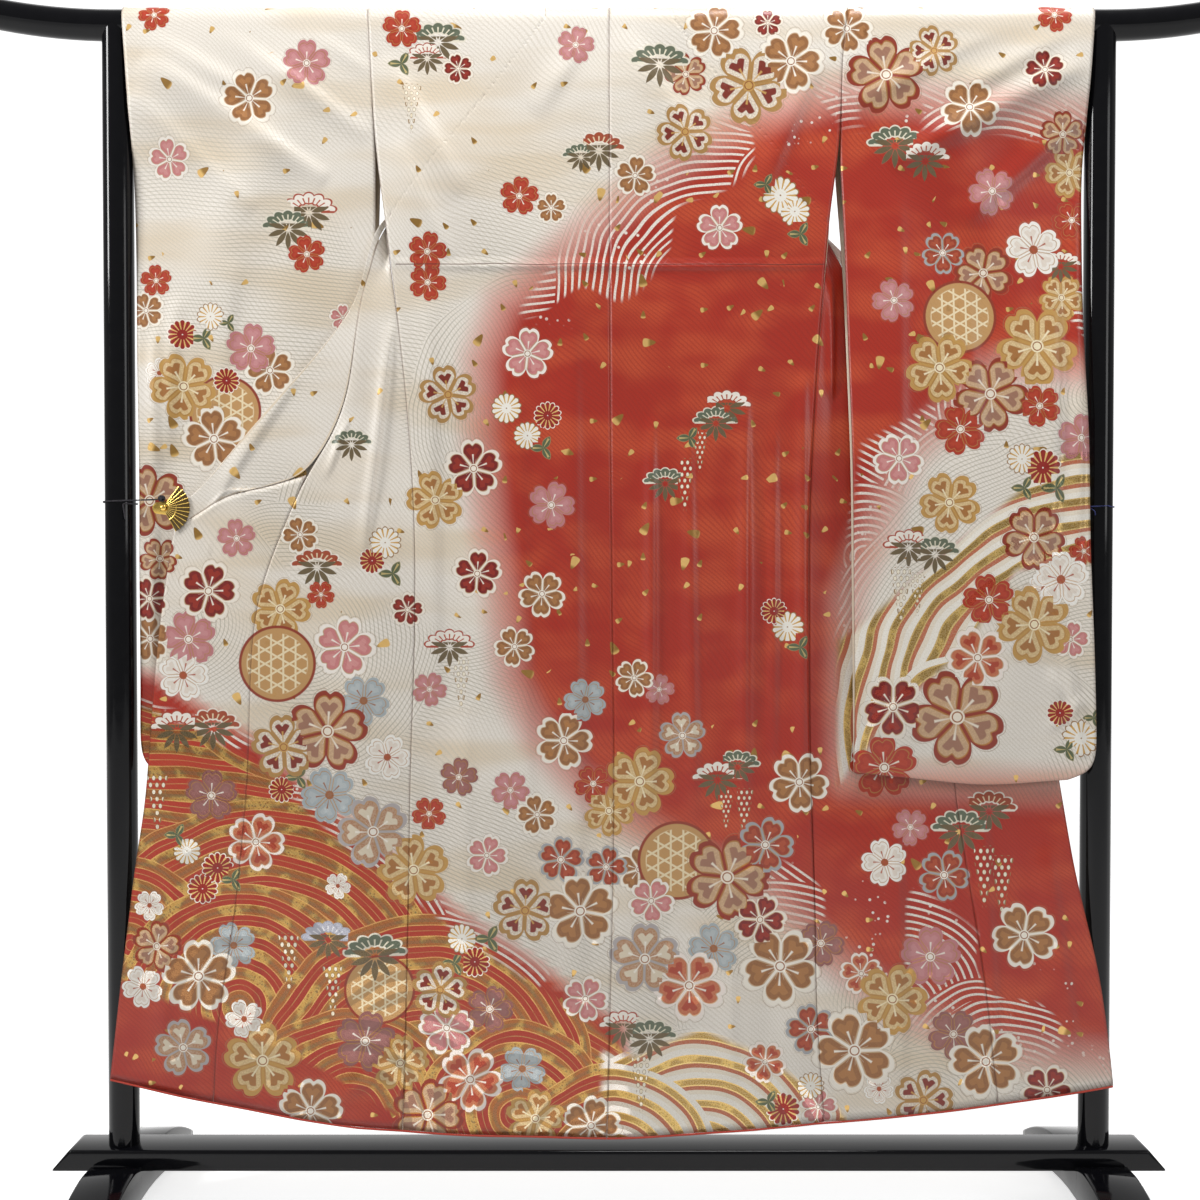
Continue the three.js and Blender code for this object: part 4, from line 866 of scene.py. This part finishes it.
# The water: hills of rings, each in front of the one before; in centimetres, the middle
# across and up, and the radius.
HILLS = [
    (-25, 96, 21), (-7, 111, 21), (15, 128, 23), (36, 135, 21), (54, 138, 18), (66, 114, 21),
    (53, 95, 17), (35, 92, 10), (69, 67, 43), (53, 59.5, 20), (-43, 80, 19.5), (-60, 83, 17),
    (-48, 30, 28), (-67, 38, 12), (-51.5, 29, 17.5), (-26, 18, 24), (-36, 13.5, 15.5),
    (-13, 14, 13), (24, 31.5, 15.5), (41, 29.5, 16), (52, 20, 13), (55, 10, 20), (45, 14, 10),
    (29, 13.5, 11), (12.5, 6.5, 19.5), (0.5, 6, 15),
]
FIRST_RINGS, FIRST_REACH = (-0.7, -0.9, 0), 3
THIN_RING, WHITE_RING, BAND_STEP = 0.0055, 0.0100, 0.030
BAND_END = 0.52
spread = marked("lay")
sway = spread.noise(9.0, 1.0)
wander = spread.node("ShaderNodeCombineXYZ", {}, {0: (sway - 0.5) * 0.03, 1: (sway - 0.5) * -0.02})
swayed = spread.apart(wander, "ADD", 0)
depth = FIRST_REACH - swayed.apart(FIRST_RINGS)
for across, up, radius in HILLS:
    from_rim = radius / 100 - swayed.apart((across / 100, up / 100, 0))
    depth = spread.node("ShaderNodeMix", {}, {0: from_rim > 0, 2: depth, 3: from_rim}, 0)

# The grounds: cream and vermilion, both mottled in soft long bands that are partly mist in the dye
# and partly painted sheen; the vermilion blushes where it is shaded off.
red, spray, edge = marked("grounds").split()
bank, pale_bank, _ = marked("banks").split()
foam = spray * spread.noise(7.0, 0.0).ease(0.38, 0.52)
stretched = spread.node("ShaderNodeMapping", {}, {0: spread, "Scale": (1.0, 4.5, 1.0)})
# Long soft bands across the grounds: partly mist in the dye, partly painted sheen of the satin.
mist_and_sheen = stretched.noise(3.2)
pale = mist_and_sheen.ease(0.42, 0.72).blend(dye(238, 231, 221), dye(224, 208, 184))
clouds_and_sheen = (mist_and_sheen * 0.6 + spread.noise(17.0, 1.0) * 0.4).ease(0.42, 0.66)
ground = red.blend(pale, clouds_and_sheen.blend(dye(170, 38, 16), dye(196, 76, 40)))
blush = red * (1 - red) * 4
ground = (blush * 0.35).blend(ground, dye(226, 122, 100))
# Fine woven ripples all over, thin drawn rings on the pale ground and white ones on the red.
ripple = spread.node(
    "ShaderNodeTexWave",
    {"bands_direction": "DIAGONAL"},
    {0: spread, "Scale": 84.0, "Distortion": 44.0, "Detail": 1.0, "Detail Scale": 0.07},
    1,
)
ripple_line = ripple.ease(0.55, 0.95)
ripple_dye = red.blend(dye(202, 194, 178), dye(150, 36, 20))
ground = (ripple_line * 0.42).blend(ground, ripple_dye)
thin = (depth / THIN_RING).swing().ease(0.08, 0.16, 1.0, 0.0)
drifting = spread.noise(5.0, 0.0).ease(0.42, 0.56) * spread.split()[1].ease(1.3, 1.62, 1.0, 0.25)
thin = thin * (1 - red) * either(foam.ease(0.1, 0.6), drifting)
ground = (thin * 0.5).blend(ground, dye(140, 134, 112))
white_ring = (depth / WHITE_RING).swing().ease(0.13, 0.2, 1.0, 0.0)
ground = (white_ring * foam.ease(0.3, 0.6) * red).blend(ground, WHITE_PAINT)
flung = spread.noise(15.0, 0.0).ease(0.58, 0.62) * spray.ease(0.3, 0.7) * red
drops = spread.cells(115.0, loose=0.8).ease(0.2, 0.3, 1.0, 0.0) * flung
ground = drops.blend(ground, WHITE_PAINT)
# The banks of bold ring waves, laid with flakes of gold leaf.
phase = (depth / BAND_STEP).math("FRACT")
BAND = [
    (0.0, dye(212, 168, 100)), (0.05, dye(146, 108, 52)), (0.2, dye(122, 108, 66)),
    (0.36, dye(150, 106, 50)), (0.47, dye(212, 168, 100)), (BAND_END, dye(184, 54, 30)),
    (0.74, dye(206, 150, 90)), (0.78, dye(184, 54, 30)),
]
PALE_BAND = [
    (0.0, dye(244, 238, 226)), (0.26, dye(214, 178, 104)), (0.32, dye(160, 128, 62)),
    (0.56, dye(222, 190, 118)), (0.62, dye(186, 100, 66)), (0.80, dye(238, 226, 206)),
]
patches = spread.noise(34.0, 1.0)
leafed = both(spread.cells(260.0).ease(0.15, 0.5), patches.ease(0.5, 0.62))
in_band = phase < BAND_END
band = (leafed * in_band * 0.6).blend(phase.ramp(BAND), dye(224, 182, 96))
rubbed = patches.ease(0.4, 0.6, 0.5, 0.05) * (1 - in_band * 0.4)
band = rubbed.blend(band, dye(182, 66, 36))
pale_leafed = leafed * (phase > 0.32) * (phase < 0.56)
pale_band = (pale_leafed * 0.6).blend(phase.ramp(PALE_BAND), dye(226, 190, 104))
in_bank, in_pale_bank = bank.ease(0.2, 0.8), pale_bank.ease(0.2, 0.8)
ground = in_bank.blend(ground, band)
ground = in_pale_bank.blend(ground, pale_band)
gilded = either(in_bank * in_band, in_pale_bank * (phase > 0.26) * (phase < 0.62))
# Loose petals of gold leaf drift over the plain grounds.
SPECKS, SPECK_SPREAD = 26.0, 0.9
tilt, which, size = spread.cells(SPECKS, 1, SPECK_SPREAD).split()
offset = spread.apart(spread.cells(SPECKS, 2, SPECK_SPREAD), "SUBTRACT", 0)
petal_u, petal_v, _ = spread.node(
    "ShaderNodeVectorRotate", {"rotation_type": "Z_AXIS"}, {0: offset, "Angle": tilt * 6.28}
).split()
large = 1 - (size > 0.84) * 0.42
petal_u, petal_v = petal_u * large, petal_v * large
petal_shape = 1 - (
    (petal_u * 175).math("POWER", 2) + (petal_v * (330 - petal_u * 36000)).math("POWER", 2)
)
open_ground = 1 - either(bank, pale_bank).ease(0.3, 0.5)
loose = petal_shape.ease(0.0, 0.3) * (which > 0.8 - red * 0.16) * open_ground
tone = (petal_u * 300 + tilt * 3 - 1.5).ease(-0.4, 0.6)
grit = spread.noise(520.0)
grit_dye = red.blend(dye(196, 182, 158), dye(146, 34, 20))
ground = (grit.ease(0.4, 0.7) * 0.3).blend(ground, grit_dye)
ground = loose.blend(ground, tone.blend(dye(150, 112, 50), dye(226, 184, 110)))

ground, behind_line = blossom("blossom_behind", ground)
ground = sprig("sprig", sprig("roundel", ground))
ground, front_line = blossom("blossom", ground)
# A tuck is sewn across the back; every seam is pressed with a narrow fold over it.
TUCK_HEIGHT, TUCK_MIDDLE, TUCK_HALF = 1.323, 0.005, 0.3
along_tuck = place.split()[0] - TUCK_MIDDLE
level = spread.split()[1] - TUCK_HEIGHT - (sway - 0.5) * 0.006
in_tuck = both(TUCK_HALF - abs(along_tuck), 0.012 - abs(level)) > 0
# A dark line under the tuck's fold and along each seam is painted shade in the crease.
tuck_shadow = (1 - abs(level).ease(0.0004, 0.0014)) * in_tuck
tuck_roll = level.ease(-0.0006, 0.0006) * level.ease(0.003, 0.011, 1.0, 0.0) * in_tuck
seam_shade = edge.ease(0.0002, 0.0012, 1.0, 0.0)
ground = either(seam_shade * 0.5, tuck_shadow * 0.6).blend(ground, dye(92, 44, 30))
gold_lines = either(front_line, behind_line)
feed(silk_shader, "Base Color", ground)
feed(silk_shader, "Roughness", grit.ease(0.3, 0.7, 0.32, 0.44) - gilded * 0.08)
leaf_dust = spread.noise(11.0, 1.0).ease(0.5, 0.62) * gold_lines.ease(0.0, 0.5)
feed(silk_shader, "Metallic", gilded * 0.45 + loose * 0.4 + leaf_dust * 0.4)
crepe = grit * 0.5 + ripple_line * 0.6 + gold_lines * 0.8
crepe = crepe + edge.ease(0.0, 0.0035) * 5 + tuck_roll * 8
relief = spread.node("ShaderNodeBump", {}, {"Strength": 0.35, "Distance": 0.0003, "Height": crepe})
feed(silk_shader, "Normal", relief)

lining_silk = mottled(
    "lining_silk", 9.0, dye(214, 196, 172), dye(226, 212, 190), Roughness=0.5
)


def cloth(name, node, farther, plain):
    """A piece of cloth in the place of a CAD wall, with its lining on the inside."""
    made = as_object(name, outer_side(node, farther), painted_silk, lining_silk)
    subdivided(made, SILK_LEVELS)
    made.data.shade_smooth()
    paint(made.data, plain)
    hang(made)
    lined(made, 1)
    fit(made, node)
    return made


def above(point):
    return point.z


def nearer(point):
    return -point.y


for node, farther in (
    ("left_body", above), ("right_body", above), ("left_okumi", nearer), ("right_okumi", nearer),
    ("left_sleeve", above), ("right_sleeve", above), ("collar", above), ("over_collar", above),
):
    cloth(f"{node}_silk", node, farther, plain=node.endswith("collar"))

# ---- the linings ----
# Pale silk lines the fronts and shows, in painted shade, in the gaps under the sleeves; red silk
# is rolled out below the hem, padded a little, so that a thin red line ends the kimono.
ROLL_CUTS = 96
red_lining = mottled(
    "red_lining_silk", 620.0, dye(176, 44, 26), dye(192, 62, 38),
    rough=(0.3, 0.7, 0.4, 0.52), Sheen_Weight=0.1,
)
for side, dark, light in (
    ("left", dye(178, 138, 96), dye(206, 168, 124)),
    ("right", dye(108, 92, 98), dye(134, 118, 122)),
):
    # In the gaps the pale lining lies in shadow, so its tan and mauve grey colours are painted
    # shade.
    lining_painted_in_shade = mottled(f"{side}_silk_painted_in_shade", 40.0, dark, light, Roughness=0.5)
    bm = outer_side(f"{side}_lining", nearer)
    lining = subdivided(as_object(f"{side}_gap_lining", bm, lining_painted_in_shade), LINING_LEVELS)
    hang(lining)
    lined(lining)
    fit(lining, f"{side}_lining")

    bm = bmesh.new()
    bm.from_mesh(nodes[f"{side}_hem_lining"].data)
    bmesh.ops.remove_doubles(bm, verts=bm.verts, dist=WELD)
    bmesh.ops.join_triangles(
        bm, faces=bm.faces, angle_face_threshold=math.radians(20), angle_shape_threshold=math.pi
    )
    eased(bm, 0.0009, 2, sharp=60)
    low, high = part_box(f"{side}_hem_lining")
    long = high.x - low.x
    cut_across(bm, 0, [low.x + long * i / ROLL_CUTS for i in range(1, ROLL_CUTS)])
    roll = as_object(f"{side}_hem_roll", bm, red_lining)
    hang(roll)
    fit(roll, f"{side}_hem_lining")

# ---- the holders ----
# The left collar is held by a sprung clip whose front is a small fan of pleated brass, gilt,
# tied to the post with a black cord. The right one is held by a plain clip on a blue thread.
FAN_CENTRE = Vector((-0.617, -0.0282, 0.986))
FAN_INNER, FAN_BAND, FAN_OUTER = 0.0077, 0.0185, 0.037
FAN_FROM, FAN_TO, FAN_RIBS = -61, 53, 11
HUB_SHARE = 0.6
gilt = mottled(
    "gilt_brass", 160.0, dye(196, 160, 78), dye(222, 190, 106),
    rough=(0.3, 0.7, 0.2, 0.34), detail=3.0, Metallic=1.0,
)
enamel = mottled("umber_enamel", 200.0, dye(70, 52, 14), dye(96, 74, 26), Roughness=0.3)


def holder(name, bm, node, finish):
    made = as_object(name, bm, finish)
    made.data.set_sharp_from_angle(angle=math.radians(40))
    fit(made, node)


def from_cad(node, width):
    """A CAD node's own shape with its sharp edges eased."""
    bm = bmesh.new()
    bm.from_mesh(nodes[node].data)
    bmesh.ops.remove_doubles(bm, verts=bm.verts, dist=WELD)
    bmesh.ops.dissolve_limit(bm, angle_limit=math.radians(3), verts=bm.verts, edges=bm.edges)
    eased(bm, width, 2, sharp=50)
    return bm


def swept(bm, ring, centre, axis, steps, angle, closed=False):
    """Draws a ring round an axis into a tube."""
    edges = list({edge for v in ring for edge in v.link_edges})
    bmesh.ops.spin(
        bm, geom=[*ring, *edges], cent=centre, axis=axis, steps=steps, angle=angle,
        use_merge=closed,
    )


holder("fan_leaf", from_cad("fan_clip", 0.0003), "fan_clip", enamel)
rivet = from_cad("clip_hub", 0.0006)
to_middle = Matrix.Translation(-FAN_CENTRE)
bmesh.ops.scale(rivet, vec=(HUB_SHARE, 1, HUB_SHARE), space=to_middle, verts=rivet.verts)
holder("fan_hub", rivet, "clip_hub", gilt)
holder("rear_jaw", from_cad("clip_jaw", 0.0004), "clip_jaw", gilt)
holder("thread_clip", from_cad("right_clip", 0.0005), "right_clip", gilt)

# The fan's ribs, and the wire band across them.
RIB_AHEAD, BAND_AHEAD = Vector((0, -0.0014, 0)), Vector((0, -0.0018, 0))
bm = bmesh.new()
for i in range(FAN_RIBS + 1):
    angle = math.radians(FAN_FROM + (FAN_TO - FAN_FROM) * i / FAN_RIBS)
    reach = Vector((math.cos(angle), 0, math.sin(angle)))
    middle = FAN_CENTRE + reach * (FAN_INNER + FAN_OUTER) / 2 + RIB_AHEAD
    turn = reach.to_track_quat("Z", "Y").to_matrix().to_4x4()
    bmesh.ops.create_cone(
        bm, cap_ends=True, segments=8, radius1=0.0005, radius2=0.0009,
        depth=FAN_OUTER - FAN_INNER, matrix=Matrix.Translation(middle) @ turn,
    )
band_place = Matrix.Translation(FAN_CENTRE + BAND_AHEAD)
first_rib = Matrix.Rotation(-math.radians(FAN_FROM), 4, "Y")
wire = bmesh.ops.create_circle(
    bm, segments=6, radius=0.0006,
    matrix=band_place @ first_rib @ Matrix.Translation((FAN_BAND, 0, 0)),
)["verts"]
swept(bm, wire, FAN_CENTRE, (0, -1, 0), 24, math.radians(FAN_TO - FAN_FROM))
bmesh.ops.recalc_face_normals(bm, faces=bm.faces)
holder("fan_ribs", bm, None, gilt)

black = mottled("black_silk_cord", 900.0, dye(14, 12, 16), dye(34, 28, 38), Roughness=0.75)
blue = mottled("blue_thread", 900.0, dye(24, 32, 84), dye(44, 56, 120), Roughness=0.7)
ROUTE_STEPS = 8
POST_X = 0.686
TURN_STEPS, TURN_DEGREES = 12, 29


def round_post(first, turn, post, clear, high, climb):
    """Places round a post for a cord to pass, each a little lower than the last."""
    reach = POST_RADIUS + clear
    angles = [math.radians(first + turn * i) for i in range(TURN_STEPS)]
    return [
        (post + math.cos(angle) * reach, math.sin(angle) * reach, high - climb * i / TURN_STEPS)
        for i, angle in enumerate(angles)
    ]


def twisted(name, node, finish, route, radius, strands):
    """A cord of a few strands laid round each other along a route."""
    curves = bpy.data.curves.new(name, "CURVE")
    curves.dimensions = "3D"
    curves.bevel_depth = radius * 0.56
    curves.bevel_resolution = 2
    points = [Vector(place) for place in route]
    middles = []
    for i in range(len(points) - 1):
        before = points[max(0, i - 1)]
        after = points[min(len(points) - 1, i + 2)]
        for j in range(ROUTE_STEPS):
            t = j / ROUTE_STEPS
            middles.append(0.5 * (
                2 * points[i] + (points[i + 1] - before) * t
                + (2 * before - 5 * points[i] + 4 * points[i + 1] - after) * t * t
                + (3 * points[i] - before - 3 * points[i + 1] + after) * t ** 3
            ))
    middles.append(points[-1])
    across = Vector((0, 0, 1))
    for strand in range(strands):
        spline = curves.splines.new("POLY")
        spline.points.add(len(middles) - 1)
        gone = 0
        for i, middle in enumerate(middles):
            step = middles[min(i + 1, len(middles) - 1)] - middles[max(i - 1, 0)]
            side = step.cross(across).normalized()
            other = side.cross(step).normalized()
            gone += (middle - middles[max(i - 1, 0)]).length
            angle = gone / (radius * 7) * 2 * math.pi + strand * 2 * math.pi / strands
            place = middle + (side * math.cos(angle) + other * math.sin(angle)) * radius * 0.5
            spline.points[i].co = (*place, 1)
    curves.materials.append(finish)
    curve = linked(name + "_curve", curves)
    bpy.context.view_layer.update()
    mesh = worked_out(curve)
    bpy.data.objects.remove(curve)
    mesh.shade_smooth()
    fit(linked(name, mesh), node)


twisted(
    "black_cord", "left_cord", black,
    [(-0.6242, -0.0306, 0.9975),
     *round_post(-98, -TURN_DEGREES, -POST_X, 0.0017, 0.996, 0.004),
     (-0.6746, -0.0224, 0.9906), (-0.6725, -0.025, 0.982), (-0.671, -0.025, 0.971)],
    0.0011, 3,
)
twisted(
    "blue_thread", "right_cord", blue,
    [(0.5983, -0.0155, 0.984),
     *round_post(-93, TURN_DEGREES, POST_X, 0.0014, 0.989, 0.0034),
     (0.6725, -0.0208, 0.984), (0.6745, -0.023, 0.981), (0.675, -0.0232, 0.976)],
    0.0008, 2,
)

# The knot in the black cord is three rings of cord laid through each other.
KNOT = Vector((-0.6185, -0.0306, 0.9989))
KNOT_CORD, KNOT_REACH = 0.0012, 0.0031
flat = Matrix.Diagonal((1.25, 0.8, 1.15, 1))
bm = bmesh.new()
for tip, roll in ((20, 10), (75, 0), (110, 60)):
    ring = bmesh.ops.create_circle(bm, segments=8, radius=KNOT_CORD)["verts"]
    bmesh.ops.translate(bm, verts=ring, vec=(KNOT_REACH, 0, 0))
    swept(bm, ring, (0, 0, 0), (0, 1, 0), 18, 2 * math.pi, closed=True)
    loop = [v for v in bm.verts if not v.tag]
    twist = Matrix.Rotation(math.radians(tip), 4, "X") @ Matrix.Rotation(math.radians(roll), 4, "Z")
    bmesh.ops.transform(bm, matrix=Matrix.Translation(KNOT) @ flat @ twist, verts=loop)
    for v in loop:
        v.tag = True
bmesh.ops.recalc_face_normals(bm, faces=bm.faces)
holder("cord_knot", bm, "left_knot", black)
